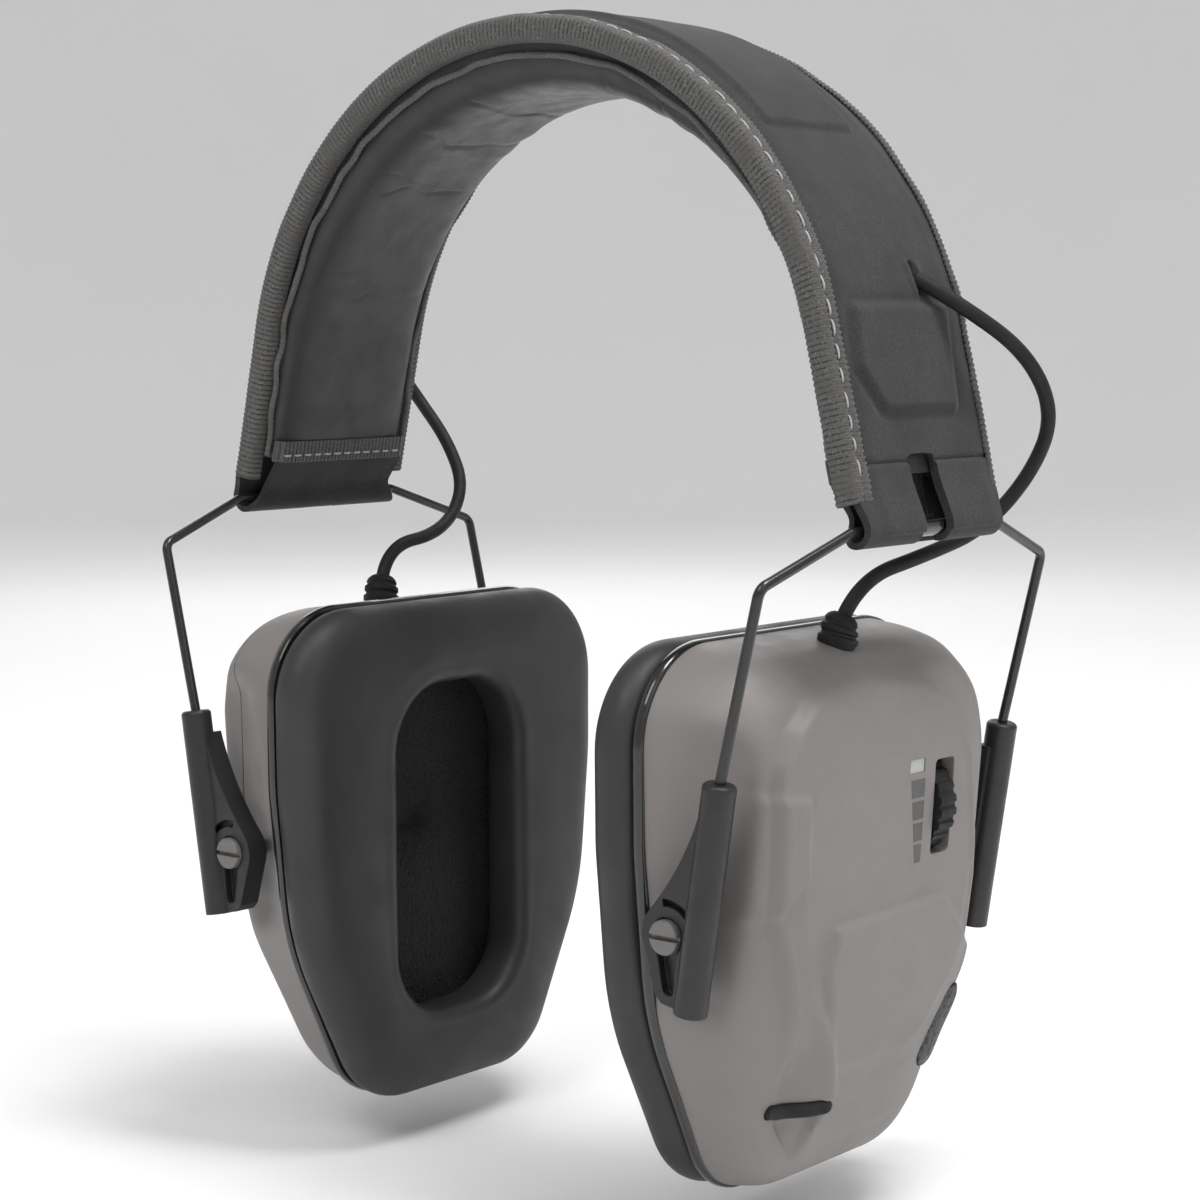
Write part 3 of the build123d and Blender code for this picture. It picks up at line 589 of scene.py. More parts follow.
def resample(points, step):
    """The same line at even steps."""
    lengths = run_lengths(points)
    places = np.linspace(0, lengths[-1], max(2, int(round(lengths[-1] / step)) + 1))
    return np.stack([np.interp(places, lengths, points[:, axis]) for axis in range(3)], axis=1)


def tube_rows(points, radius, sides=16):
    """Rings round a line, with no twist."""
    points = np.asarray(points, float)
    tangents = np.gradient(points, axis=0)
    tangents /= np.linalg.norm(tangents, axis=1)[:, None]
    across = np.cross(tangents[0], (0.0, 0.3, 1.0))
    across /= np.linalg.norm(across)
    radii = np.broadcast_to(radius, len(points))
    rows = []
    for point, tangent, size in zip(points, tangents, radii):
        across = across - tangent * (across @ tangent)
        across /= np.linalg.norm(across)
        other = np.cross(tangent, across)
        angles = np.linspace(0, 2 * pi, sides + 1)[:-1]
        rows.append([point + size * (cos(a) * across + sin(a) * other) for a in angles])
    return np.array(rows)


def make_cord(side):
    """A cord as three stretches, one across each joint between the headband and the cup."""
    sign = SIDES[side]
    route = list(CORD_ROUTES[side])
    for run in (GLAND_RUN, 0.0):      # the cord comes into the gland along its lean
        depth, y, up = Vector(GLAND_TOP) + GLAND_LEAN * run
        route.append((sign * (FACE_X + depth), y, PIVOT_Z + up))
    line = resample(spline_points(route), CORD_STEP)
    marks = [0] + [int(round(share * (len(line) - 1))) for share in CORD_CUTS] + [len(line) - 1]
    for number, (first, last) in enumerate(zip(marks, marks[1:])):
        path = line[first:last + 1]
        name = f"{side}_cord_{('upper', 'middle', 'lower')[number]}"
        piece = grid(name, tube_rows(path, CORD_D / 2), RUBBER)
        sharp_by_angle(piece, 50)
        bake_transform(piece)
        if number == 0:
            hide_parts(f"{side}_cord")


# ---------------------------------------------------------------- headband
def leg_distance(z):
    """Distance along the band's outside to a height on a leg."""
    return ARC_LENGTH + (ARC_Z + BAND_R * cos(ARC_HALF) - z) / sin(ARC_HALF)


def band(distance, depth):
    """x and z on the band, by distance along its outside and depth below it."""
    distance = np.asarray(distance, float)
    turn = np.clip(distance / BAND_R, -ARC_HALF, ARC_HALF)
    beyond = np.maximum(np.abs(distance) - ARC_LENGTH, 0)
    x = (BAND_R - depth) * np.sin(turn) + np.sign(distance) * beyond * cos(ARC_HALF)
    z = ARC_Z + (BAND_R - depth) * np.cos(turn) - beyond * sin(ARC_HALF)
    return x, z


def pad_depth(distance):
    """Depth of the pad's inner face: a larger arc than the band's, thinner toward the legs."""
    turn = np.minimum(np.abs(distance) / BAND_R, ARC_HALF)
    shift = ARC_Z + PAD_INNER_R
    reach = -shift * np.cos(turn) + np.sqrt(PAD_INNER_R**2 - (shift * np.sin(turn)) ** 2)
    beyond = np.maximum(np.abs(distance) - ARC_LENGTH, 0)
    return BAND_R - reach - 0.37 * (1 - np.exp(-beyond / 8))


def swept(name, distances, section, material, shape):
    """A closed section of y and depth, swept along the band. shape changes (distance, y, depth)."""
    s = np.repeat(distances[:, None], len(section), axis=1)
    y = np.repeat(section[None, :, 0], len(distances), axis=0)
    depth = np.repeat(section[None, :, 1], len(distances), axis=0)
    y, depth = shape(s, y, depth)
    x, z = band(s, depth)
    return grid(name, np.stack([x, y, z], axis=2), material, marks={"along": s.ravel(), "across": y.ravel()})


def smooth_section(corners, count):
    """A closed smooth line through corner points, rounded off by averaging."""
    closed = np.vstack([corners, corners[:1]])
    lengths = run_lengths(closed)
    places = np.linspace(0, lengths[-1], count + 1)[:-1]
    line = np.stack([np.interp(places, lengths, closed[:, axis]) for axis in (0, 1)], axis=1)
    for _ in range(2):
        line = 0.25 * np.roll(line, 1, axis=0) + 0.5 * line + 0.25 * np.roll(line, -1, axis=0)
    return line


FLAP_EDGE = 18.5
STITCH_Y = 21.2
WIDE_FLAP = [
    (FLAP_EDGE, 0.75), (FLAP_EDGE, 0.05), (19.8, -0.22), (20.7, -0.10), (STITCH_Y, 0.42), (21.7, -0.10), (22.7, -0.18),
]
NARROW_FLAP = [(22.1, 0.75), (22.1, 0.1), (22.6, -0.15), (23.1, -0.15)]


def make_binding(name, side, flap):
    """Ribbed tape folded round an edge; flap is the profile of its outer part."""
    flap_edge = flap[0][0]
    section = smooth_section(
        flap + [(23.7, 0.25), (24.0, 1.2), (24.0, 3.9), (23.6, 4.9), (22.4, 5.2), (20.3, 5.15),
                (20.1, 4.5), (22.2, 4.35), (23.1, 3.9), (23.2, 1.1), (22.9, 0.75)],
        64,
    )
    middle = section.mean(axis=0)
    foot = leg_distance(BINDING_FOOT)
    distances = np.arange(-foot, foot, RIB / 5)
    edge = wander(2 * foot, 3.0, 0.10, 11 + side)
    lift = wander(2 * foot, 7.0, 0.10, 21 + side)

    def ribs(s, y, depth):
        rib = 0.14 * np.cos(2 * pi * s / RIB)
        outward_y = np.sign(y - middle[0]) * (np.abs(y - middle[0]) > 2.4)
        y = y + outward_y * rib * 0.9 + (y < flap_edge + 0.5) * (depth < 1.5) * edge(s + foot)
        depth = depth - np.sign(middle[1] - depth) * rib + lift(s + foot) * (depth < 0.6)
        return side * y, depth

    attach(swept(name, distances, section, GROSGRAIN, ribs), "headband", name)


def thread_part(start, end, lift, radius=0.22):
    """One stitch: a short thread from one point to another, humped in the middle."""
    shares = np.array([0.0, 0.12, 0.35, 0.65, 0.88, 1.0])
    rises = np.array([-0.6, 0.35, 0.9, 0.9, 0.35, -0.6])
    line = np.outer(1 - shares, start) + np.outer(shares, end) + np.outer(rises * radius, lift)
    rows = tube_rows(line, np.array([0.5, 0.9, 1.0, 1.0, 0.9, 0.5]) * radius, 7)
    return rows.reshape(-1, 3), grid_faces(len(rows), 7)


def make_stitches(name, spots):
    """Stitches from a list of (start, end, outward direction)."""
    threads = [thread_part(np.array(a), np.array(b), np.array(out)) for a, b, out in spots]
    attach(joined(name, threads, THREAD), "headband")


def band_stitches(name, y, depth):
    """A row of stitches along the outside of the band."""
    spots = []
    foot = leg_distance(BINDING_FOOT) - 2
    drift = wander(2 * foot, 5.0, 0.12, 31)
    for start in np.arange(-foot, foot - STITCH_LENGTH, STITCH_PERIOD):
        start = start + 0.25 * RNG.normal()
        end = start + STITCH_LENGTH * (1 + 0.08 * RNG.normal())
        (start_x, start_z), (end_x, end_z) = (band(s, depth) for s in (start, end))
        turn = np.clip(start / BAND_R, -ARC_HALF, ARC_HALF)
        shifted = y + drift(start + foot)
        spots.append(((start_x, shifted, start_z), (end_x, shifted + 0.1, end_z), (sin(turn), 0, cos(turn))))
    make_stitches(name, spots)


TAB = ((-12.8, -44.7), (16.1, -44.7), (13.8, -61.3), (-8.5, -61.3), (-13.8, -54.5))
CROWN_PANEL = ((-60, -12.5), (60, -12.5), (60, 12.5), (-60, 12.5))
SEAM_Z = HINGE_Z + 11.7
SLIT = (10.3, -38.0)          # y and z of the slit that a cord comes out of
COVER_STEP = 0.45
COVER_COLUMNS = 105


def cover_path():
    """The cover's outside from the crown down the right leg, round the hem loop and up its leaf."""
    down = np.arange(0, leg_distance(HINGE_Z + 8.5), COVER_STEP)
    x, z = band(down, 0.8)
    leg = np.stack([x, z], axis=1)
    turns = np.radians(np.arange(12, -206, -4))
    loop = np.stack([HINGE_X + LOOP_R * np.cos(turns), HINGE_Z + LOOP_R * np.sin(turns)], axis=1)
    top = np.array(band(leg_distance(LEAF_TOP), PAD_END))
    leaf = np.linspace(loop[-1], top, 14)[1:]
    line = np.vstack([leg, loop, leaf])
    line = resample(np.column_stack([line, np.zeros(len(line))]), COVER_STEP)[:, :2]
    for _ in range(14):
        line[1:-1] = 0.25 * line[:-2] + 0.5 * line[1:-1] + 0.25 * line[2:]
    return line


def cut_hem_slot(piece, sign):
    """Cuts the slot that shows the hinge clip, through the hem's outside but not its inner leaf."""
    corners = [(-4.6, -70.6), (4.6, -70.6), (4.6, -95.0), (-4.6, -95.0)]
    rounded = rounded_polygon(corners, (1.6, 1.6, 0.1, 0.1), 6)
    cutter = prism("slot cutter", [(sign * 76.4, y, z) for y, z in rounded], (sign * 16, 0, 0))
    leaf = [
        (HINGE_X - 12, -96), (HINGE_X - 0.8, -96), (HINGE_X - 0.8, HINGE_Z - 0.5), (HINGE_X - 2.3, HINGE_Z + 0.5),
        (77.1, -70), (HINGE_X - 12, -70),
    ]
    difference(cutter, prism("leaf keeper", [(sign * x, -8, z) for x, z in leaf], (0, 16, 0)))
    difference(piece, cutter)


def make_cover():
    """The outer fabric in one piece, with its embossed panel and tabs, cord slits, seams and hem loops."""
    half = cover_path()
    line = np.vstack([half[::-1] * (-1, 1), half[1:]])
    tangent = np.gradient(line, axis=0)
    tangent /= np.linalg.norm(tangent, axis=1)[:, None]
    normal = np.column_stack([-tangent[:, 1], tangent[:, 0]])
    lengths = run_lengths(line)
    distance = lengths - lengths[len(half) - 1]
    far = np.abs(distance)
    loop_start = leg_distance(HINGE_Z)
    width = COVER_HALF - 0.9 * smoothstep(leg_distance(BINDING_FOOT + 2), leg_distance(BINDING_FOOT - 3), far)
    width -= 3.4 * smoothstep(loop_start + 5.0, loop_start + 12.0, far)
    s = np.repeat(distance[:, None], COVER_COLUMNS, axis=1)
    z = np.repeat(line[:, 1:2], COVER_COLUMNS, axis=1)
    y = width[:, None] * np.linspace(-1, 1, COVER_COLUMNS)[None, :]
    level = np.where(np.abs(s) < loop_start, 1.0, 0.0)      # relief only on the outside
    free_edge = np.where(y < 0, FLAP_EDGE, 22.2)
    puff = 0.30 * smoothstep(free_edge + 0.6, free_edge - 3.5, np.abs(y)) * level
    puff += 1.5 * smoothstep(72, 30, np.abs(s)) * smoothstep(free_edge - 0.4, free_edge - 5.0, np.abs(y)) * level
    panel = 0.85 * smoothstep(0.2, -1.6, polygon_distance(s, y, CROWN_PANEL, 2.0)) * level
    tab_shape = polygon_distance(y, z, TAB, 2.2)
    tab = 1.15 * smoothstep(0.3, -2.1, tab_shape) * level
    tab -= 0.18 * bell(tab_shape - 0.5, 0.7) * level
    hem = 0.32 * smoothstep(SEAM_Z + 0.35, SEAM_Z - 0.35, z) * level
    hem -= 0.45 * bell(z - SEAM_Z - 0.3, 0.45) * level
    slit_y, slit_z = SLIT
    slit_run = smoothstep(3.6, 2.4, np.abs(z - slit_z + 0.1))
    beside = y - slit_y + 0.12 * (z - slit_z)
    slit = -1.5 * bell(beside, 0.75, 4) * slit_run * level
    slit += 0.35 * bell(np.abs(beside) - 1.7, 0.8) * slit_run * level
    waves = wander(2 * distance[-1], 9.0, 0.10, 5)(s - distance[0]) + 0.06 * np.sin(y / 3.1 + s / 17)
    rise = puff + panel + tab + hem + slit + waves * level

    def raised(height):
        x, z = (line[:, axis:axis + 1] + normal[:, axis:axis + 1] * height for axis in (0, 1))
        return np.stack([x, y, z], axis=2)

    inner = raised(np.full(y.shape, 0.2 - COVER))
    piece = grid("headband_fabric", np.concatenate([raised(rise), inner[:, ::-1]], axis=1), SOFTSHELL)
    for sign in SIDES.values():
        cut_hem_slot(piece, sign)
    finish_part(piece, "headband", "headband_cover", 50)


def rounded_polygon(corners, radii, count=8):
    """Points of a closed polygon whose corners are arcs."""
    corners = [np.array(corner, float) for corner in corners]
    points = []
    for number, (corner, radius) in enumerate(zip(corners, radii)):
        before = corners[number - 1] - corner
        after = corners[(number + 1) % len(corners)] - corner
        before_length, after_length = np.linalg.norm(before), np.linalg.norm(after)
        before, after = before / before_length, after / after_length
        half = 0.5 * np.arccos(np.clip(before @ after, -1, 1))
        run = min(radius / np.tan(half), 0.499 * before_length, 0.499 * after_length)
        radius = run * np.tan(half)
        bisector = (before + after) / np.linalg.norm(before + after)
        middle = corner + bisector * (radius / sin(half))
        first = corner + before * run - middle
        last = corner + after * run - middle
        start, sweep = atan2(first[1], first[0]), atan2(last[1], last[0]) - atan2(first[1], first[0])
        sweep = (sweep + pi) % (2 * pi) - pi
        for share in np.linspace(0, 1, count):
            turn = start + sweep * share
            points.append(middle + radius * np.array([cos(turn), sin(turn)]))
    return points


def prism(name, loop, push):
    """A closed prism: a loop of points pushed along a vector."""
    loop = np.asarray(loop, float)
    return grid(name, np.stack([loop, loop + np.asarray(push, float)]), BLACK_PLASTIC)


def make_piping(side):
    """The thin ribbed welt where the pad's side meets its face."""
    foot = leg_distance(HINGE_Z + 10.8)
    distances = np.arange(-foot, foot, 0.4)
    drift = wander(2 * foot, 5.0, 0.30, 71 + side)(distances + foot)
    sag = wander(2 * foot, 8.0, 0.22, 81 + side)(distances + foot)
    depth = 4.9 + 0.30 * (pad_depth(distances) - 4.9) + sag
    x, z = band(distances, depth)
    line = np.column_stack([x, side * (20.55 + drift), z])
    radius = 0.62 + 0.10 * np.cos(2 * pi * distances / 1.2)
    piece = grid(("rear" if side < 0 else "front") + "_pad_piping", tube_rows(line, radius, 10), GROSGRAIN)
    sharp_by_angle(piece, 60)
    attach(piece, "headband")


# Creases of the pad on either side of the crown: distance, rise and width.
CREASES = (
    (36, 0.35, 3.0), (41, -0.95, 0.75), (45, 0.30, 2.4), (57, -0.55, 0.6), (23, -0.45, 0.8), (62, -0.35, 0.6),
    (88, -0.3, 1.2), (95, -0.25, 0.8),
)
PAD_ROWS, PAD_COLUMNS = 620, 71
PAD_BACK = 2.4
PAD_FLAT = 4.3
PAD_EDGE = 22.9


def make_pad():
    """The leather-faced pad, crowned across, with creases where it bends."""
    foot = leg_distance(HINGE_Z + 10.2)
    distances = np.linspace(-foot, foot, PAD_ROWS)
    shares = np.linspace(-1, 1, PAD_COLUMNS)
    side_y = PAD_HALF + 0.4
    depth_share = (1 - np.abs(shares) ** 5.0) ** (1 / 2.4)
    rows = []
    creases = [(sign * place, rise, width) for place, rise, width in CREASES for sign in (-1, 1)]
    bends = [wander(60, 6.0, 1.1, 40 + number) for number in range(len(creases))]
    fade = [wander(60, 9.0, 0.5, 60 + number) for number in range(len(creases))]
    for s in distances:
        full = float(pad_depth(s))
        taper = smoothstep(foot + 0.2, foot - 2.4, abs(s))
        y = shares * side_y
        ripple = np.zeros(len(y))
        for (place, rise, width), bend, keep in zip(creases, bends, fade):
            at = place + bend(y + 30)
            strength = np.clip(0.6 + keep(y + 30), 0, 1.2)
            ripple += rise * strength * bell(s - at, width)
        inner = PAD_FLAT + (full - PAD_FLAT - 0.9 * (1 - taper)) * depth_share + ripple * depth_share
        section = [(-PAD_EDGE, PAD_BACK), (PAD_EDGE, PAD_BACK), (PAD_EDGE, 4.1), (side_y + 0.6, 4.15)]
        section += list(zip(y[::-1], inner[::-1]))
        section += [(-side_y - 0.6, 4.15), (-PAD_EDGE, 4.1)]
        ys, depths = np.array(section).T
        x, z = band(s, depths)
        rows.append(np.stack([x, ys, z], axis=1))
    piece = grid("headband_padding", rows, LEATHER)
    finish_part(piece, "headband", "headband_pad", 60)


def make_pad_tape(side):
    """Ribbed tape across the end of the pad, with a row of stitches."""
    sign = SIDES[side]
    low, high = leg_distance(LEAF_TOP + TAPE_HEIGHT), leg_distance(LEAF_TOP)
    rises = smooth_section([(low, 0.3), (low, 0.65), (high, 0.65), (high, -0.1)], 26)
    ys = np.arange(-19.9, 19.9, RIB / 5)
    rows = []
    for y in ys:
        edge = 0.8 * smoothstep(17.6, 19.9, abs(y))
        rib = 0.07 * cos(2 * pi * y / RIB)
        depth = pad_depth(rises[:, 0]) + rises[:, 1] - 1.5 * edge + rib * (rises[:, 1] > 0.3)
        x, z = band(rises[:, 0], depth)
        rows.append(np.stack([sign * x, np.full(len(x), y), z], axis=1))
    count = len(rises)
    marks = {"along": np.repeat(ys, count), "across": np.tile(rises[:, 0], len(ys))}
    piece = grid(f"{side}_pad_end_tape", rows, GROSGRAIN, marks=marks)
    attach(piece, "headband", f"{side}_pad_tape")
    spots = []
    line = 0.35 * low + 0.65 * high
    depth = pad_depth(line) + 0.62
    x, z = band(line, depth)
    inward = (-sign * sin(ARC_HALF), 0, -cos(ARC_HALF))
    for start in np.arange(-18.0, 16.2, 3.0):
        spots.append(((sign * x, start, z), (sign * x, start + 2.0, z + 0.05), inward))
    make_stitches(f"{side}_pad_end_stitches", spots)


# ---------------------------------------------------------------- ear cups
ROUND = 320
FINE_ROUND = 6000


def outline_corners(inset, top, bottom):
    """Corners and radii of the cup's outline, drawn in at the sides, top and bottom."""
    right = [
        (46.8 - inset, 51.5 - top),
        (46.6 - inset, 14 - 0.35 * inset),
        (43.4 - inset, -20 + 0.45 * inset),
        (25 - 0.62 * inset, -57 + bottom),
    ]
    radii = [30.5 - 0.75 * inset, 60 - 1.6 * inset, 60 - 1.6 * inset, 16 - 0.4 * inset]
    left = [(-y, up) for y, up in reversed(right)]
    return right + left, radii + radii[::-1]


def by_angle(points, middle):
    """A closed star-shaped line as points at even angles round a middle."""
    points = np.asarray(points, float) - middle
    closed = np.vstack([points, points[:1]])
    lengths = run_lengths(closed)
    places = np.linspace(0, lengths[-1], FINE_ROUND, endpoint=False)
    points = np.stack([np.interp(places, lengths, closed[:, axis]) for axis in (0, 1)], axis=1)
    angles = np.arctan2(points[:, 1], points[:, 0])
    order = np.argsort(angles)
    angles, sizes = angles[order], np.linalg.norm(points, axis=1)[order]
    angles = np.concatenate([angles - 2 * pi, angles, angles + 2 * pi])
    sizes = np.tile(sizes, 3)
    turns = np.linspace(-pi, pi, ROUND + 1)[:-1]
    sizes = np.interp(turns, angles, sizes)
    return middle + np.stack([sizes * np.cos(turns), sizes * np.sin(turns)], axis=1)


def outline_loop(inset, top=None, bottom=None):
    """The cup's outline as (y, height) points at even angles."""
    top = inset if top is None else top
    bottom = inset if bottom is None else bottom
    corners, radii = outline_corners(inset, top, bottom)
    middle = np.array([0.0, (51.5 - top - 57 + bottom) / 2])
    return by_angle(rounded_polygon(corners, radii, 40), middle)


def spline_value(knots, t):
    """A smooth value through even knots, at t from 0 to the last one."""
    knots = np.asarray(knots, float)
    low = int(min(max(t, 0), len(knots) - 1.000001))
    part = t - low
    p1, p2 = knots[low], knots[low + 1]
    p0 = knots[low - 1] if low > 0 else 2 * p1 - p2
    p3 = knots[low + 2] if low + 2 < len(knots) else 2 * p2 - p1
    return p1 + 0.5 * part * (
        p2 - p0 + part * (2 * p0 - 5 * p1 + 4 * p2 - p3 + part * (3 * (p1 - p2) + p3 - p0))
    )


def to_world(sign, depth, y, up):
    """World points from cup depth, y and height."""
    depth, y, up = np.broadcast_arrays(depth, y, up)
    return np.stack([sign * (FACE_X + depth), y, PIVOT_Z + up], axis=-1)


def rows_to_world(sign, rows):
    """World points from rows of (depth, y, height)."""
    return to_world(sign, rows[..., 0], rows[..., 1], rows[..., 2])


def at_depth(depth, loop):
    """Rows of (depth, y, height) from an outline at one depth."""
    return np.column_stack([np.full(len(loop), depth), loop])


def dome_rows(shrink, side_rows, cap_rows):
    """The shell's outer form as rows of (depth, y, height), from the rim to the middle of its face."""
    rows = []
    for t in np.linspace(0, len(SECTIONS) - 1, side_rows):
        depth, tilt, inset, top, bottom = spline_value(SECTIONS, t)
        sunk = shrink * min(t, 1)
        loop = outline_loop(inset + shrink, top + shrink, bottom + shrink)
        slope = np.tan(radians(tilt))
        rows.append(np.column_stack([depth - sunk + slope * loop[:, 1], loop]))
    rim = rows[-1]
    middle = rim.mean(axis=0)
    for share in np.linspace(0, 1, cap_rows + 1)[1:]:
        keep = 1 - share
        crown = 0.55 * (1 - keep**2)
        row = middle + (rim - middle) * max(keep, 0.004)
        row[:, 0] += crown
        rows.append(row)
    return np.array(rows)


ARM_LEAN = radians(9)
ARM_TOP = (70.85, HINGE_Z - 43.7)
ARM_HALF = 22
HOLLOW_R = 12.3
HOLLOW_Y = 51.4


def hollow(rows, sign_y):
    """Pushes the surface away from one arm, to leave a rounded channel round it."""
    arm_x, arm_z = ARM_TOP[0] - ARM_HALF * sin(ARM_LEAN), ARM_TOP[1] - ARM_HALF * cos(ARM_LEAN)
    origin = np.array([arm_x - 2 - FACE_X, HOLLOW_Y * sign_y, arm_z - PIVOT_Z])
    axis = np.array([sin(ARM_LEAN), 0, cos(ARM_LEAN)])
    offset = rows - origin
    along = offset @ axis
    across = offset - along[..., None] * axis
    reach = np.linalg.norm(across, axis=-1)
    soft = 3.0
    ends = smoothstep(30, 22, np.abs(along - 2))
    wanted = reach + soft * np.log1p(np.exp((HOLLOW_R - reach) / soft))
    push = (wanted - reach) * ends
    return rows + across / np.maximum(reach, 1e-6)[..., None] * push[..., None]


# The right cup's raised forms, as (y, height) from the pivot.
PANEL = (
    (-12, 43.0), (6, 42.0), (17, 40), (25.5, 27), (31, 1), (30.5, -13), (24, -46), (-22, -48), (-27, -22), (-31, -6),
    (-35, 4), (-36, 25), (-34.5, 31), (-30.5, 37), (-24, 41.5),
)
CHEEK = ((-44, 25.8), (-29.3, 24.4), (-28.6, 9.4), (-34.5, 2.8), (-44, 2.8))
STEP = ((-18.5, -1.6), (17.5, -1.0), (29, -13), (26, -60), (-12, -60), (-15, -30), (-20.5, -10))
FIN = ((-21.5, -15.5), (-12.2, -36.0))


def segment_distance(y, up, start, end):
    """Distance to a segment, and the share along it."""
    run = np.array(end, float) - start
    t = ((y - start[0]) * run[0] + (up - start[1]) * run[1]) / (run @ run)
    inside = np.clip(t, 0, 1)
    return np.hypot(y - start[0] - inside * run[0], up - start[1] - inside * run[1]), t


def sculpt(rows):
    """Adds the outside panel's ridge and step, the fin and the scoop to the dome."""
    depth, y, up = rows[..., 0], rows[..., 1], rows[..., 2]
    facing = smoothstep(26, 33, depth)
    panel = polygon_distance(y, up, PANEL)
    fade = smoothstep(-34, -14, up)
    rise = 1.9 * smoothstep(1.2, -1.0, panel) * (0.25 + 0.75 * fade)
    rise += 0.30 * bell(panel + 1.5, 0.9) * fade
    cheek = polygon_distance(y, up, CHEEK)
    rise += 1.5 * smoothstep(1.5, -1.0, cheek)
    step = polygon_distance(y, up, STEP)
    rise += 1.6 * smoothstep(1.2, -1.0, step) * smoothstep(-46, -8, up)
    far, share = segment_distance(y, up, *FIN)
    rise += 1.5 * bell(far, 1.5) * smoothstep(-0.15, 0.35, share) * smoothstep(1.25, 1.0, share)
    valley = bell(y + 21.5 - 0.12 * (up + 30), 4.2) * smoothstep(-17, -32, up) * smoothstep(-50, -38, up)
    rise -= 2.1 * valley
    scoop_half = 5.4 * np.clip((up + 50.5) / 10.5, 0, 1)
    scoop = smoothstep(scoop_half + 0.6, scoop_half - 1.6, np.abs(y + 18.0)) * smoothstep(-50, -46, up)
    scoop *= smoothstep(-38.2, -39.8, up)
    rise -= 1.9 * scoop + 1.3
    for number in range(3):
        start = np.array([6.0 - 2.9 * number, -50.3 - 0.25 * number])
        far, _ = segment_distance(y, up, start, start + (-4.6, -3.2))
        rise -= 0.6 * bell(far, 0.6)
    out = rows.copy()
    out[..., 0] = depth + rise * facing
    return out


def slot_cutter(sign, low, high, radius, reach=(26, 60)):
    """A prism with rounded corners through the cup's outside face."""
    (y0, up0), (y1, up1) = low, high
    loop = rounded_polygon([(y0, up0), (y1, up0), (y1, up1), (y0, up1)], [radius] * 4, 6)
    points = to_world(sign, reach[0], np.array(loop)[:, 0], np.array(loop)[:, 1])
    return prism("slot cutter", points, (sign * (reach[1] - reach[0]), 0, 0))


def slanted_frame(axis, long_way):
    """Unit vectors along an axis, and along and across a slot that it goes through."""
    axis = Vector(axis).normalized()
    long_way = Vector(long_way)
    long_way = (long_way - axis * long_way.dot(axis)).normalized()
    return axis, long_way, axis.cross(long_way)


def angled_cutter(sign, origin, axis, long_way, length, width, reach=40):
    """A rounded slot pushed along a slanted axis."""
    axis, long_way, short_way = slanted_frame(axis, long_way)
    size = ((-length / 2, -width / 2), (length / 2, -width / 2), (length / 2, width / 2), (-length / 2, width / 2))
    loop = rounded_polygon(size, [0.3 * width + 0.6] * 4, 6)
    points = [Vector(origin) + long_way * u + short_way * v for u, v in loop]
    world = to_world(sign, *np.array(points).T)
    return prism("angled cutter", world, (sign * axis[0] * reach, axis[1] * reach, axis[2] * reach))


MIC_CENTRE = np.array([32.2, 25.5, -29.5])
MIC_AXIS = np.array([0.86, 0.42, -0.28])
MIC_LONG = np.array([-0.12, -0.34, -0.93])
MIC = (MIC_CENTRE - 6.5 * MIC_AXIS, MIC_AXIS, MIC_LONG, 18.5, 10.0)
JACK = ((20, -19, -37.5), (1, 0, 0), (0, 1, -0.085), 15.0, 2.9)
WINDOW_LOW, WINDOW_HIGH = (3.0, 24.9), (8.0, 27.6)
SHELL_WALL = 2.5
DOOR_TOP = 8.0
DOOR_DEPTH = 29.5
DOOR_GAP = 0.3
RAY_START = 0.2
MIC_COVER_LONG, MIC_COVER_WIDE = 9.15, 4.9
MIC_COVER_ROWS, MIC_COVER_COLUMNS = 48, 17


def make_shell(side):
    """One shell as a closed wall: the outer form, sculpted on the right, joined to the inner one at the rim."""
    outer = dome_rows(0, side_rows=110, cap_rows=56)
    if side == "right":
        outer = sculpt(outer)
    inner = dome_rows(SHELL_WALL, side_rows=60, cap_rows=16)
    for sign_y in (-1, 1):
        outer, inner = hollow(outer, sign_y), hollow(inner, sign_y)
    return grid(f"{side}_housing", rows_to_world(SIDES[side], np.concatenate([outer[::-1], inner])), SHELL_PLASTIC)


def cut_shells():
    """Makes both shells and the battery door with their openings; returns their outsides as they were before."""
    right = make_shell("right")
    surface = BVHTree.FromObject(right, bpy.context.evaluated_depsgraph_get())
    low, high = node_box("volume_wheel")
    y, up = (low[1] + high[1]) / 2, (low[2] + high[2]) / 2 - PIVOT_Z
    difference(right, slot_cutter(1, (y - 3.3, up - 9.4), (y + 3.3, up + 9.4), 1.0))
    difference(right, slot_cutter(1, WINDOW_LOW, WINDOW_HIGH, 0.25))
    difference(right, angled_cutter(1, *MIC))
    difference(right, angled_cutter(1, *JACK))
    left = make_shell("left")
    points = [Vector((-vertex.co.x, vertex.co.y, vertex.co.z)) for vertex in left.data.vertices]
    plain = BVHTree.FromPolygons(points, [tuple(face.vertices) for face in left.data.polygons])
    difference(left, angled_cutter(-1, *MIC))
    door = left.copy()
    door.data = left.data.copy()
    door.name = "battery_door_panel"
    bpy.context.scene.collection.objects.link(door)
    difference(left, slot_cutter(-1, (-60, DOOR_TOP - DOOR_GAP), (60, 90), 0.5, (DOOR_DEPTH - DOOR_GAP, 80)))
    difference(door, slot_cutter(-1, (-60, DOOR_TOP), (60, 90), 0.5, (DOOR_DEPTH, 80)), "INTERSECT")
    finish_part(right, "right_cup", "right_shell")
    finish_part(left, "left_cup", "left_shell")
    finish_part(door, "battery_door", "battery_door")
    return surface, plain


def on_surface(surface, y, up):
    """World point on the right shell, straight in from outside."""
    hit = surface.ray_cast(Vector((RAY_START, y * MM, (PIVOT_Z + up) * MM)), Vector((-1, 0, 0)))[0]
    return np.array(hit) / MM


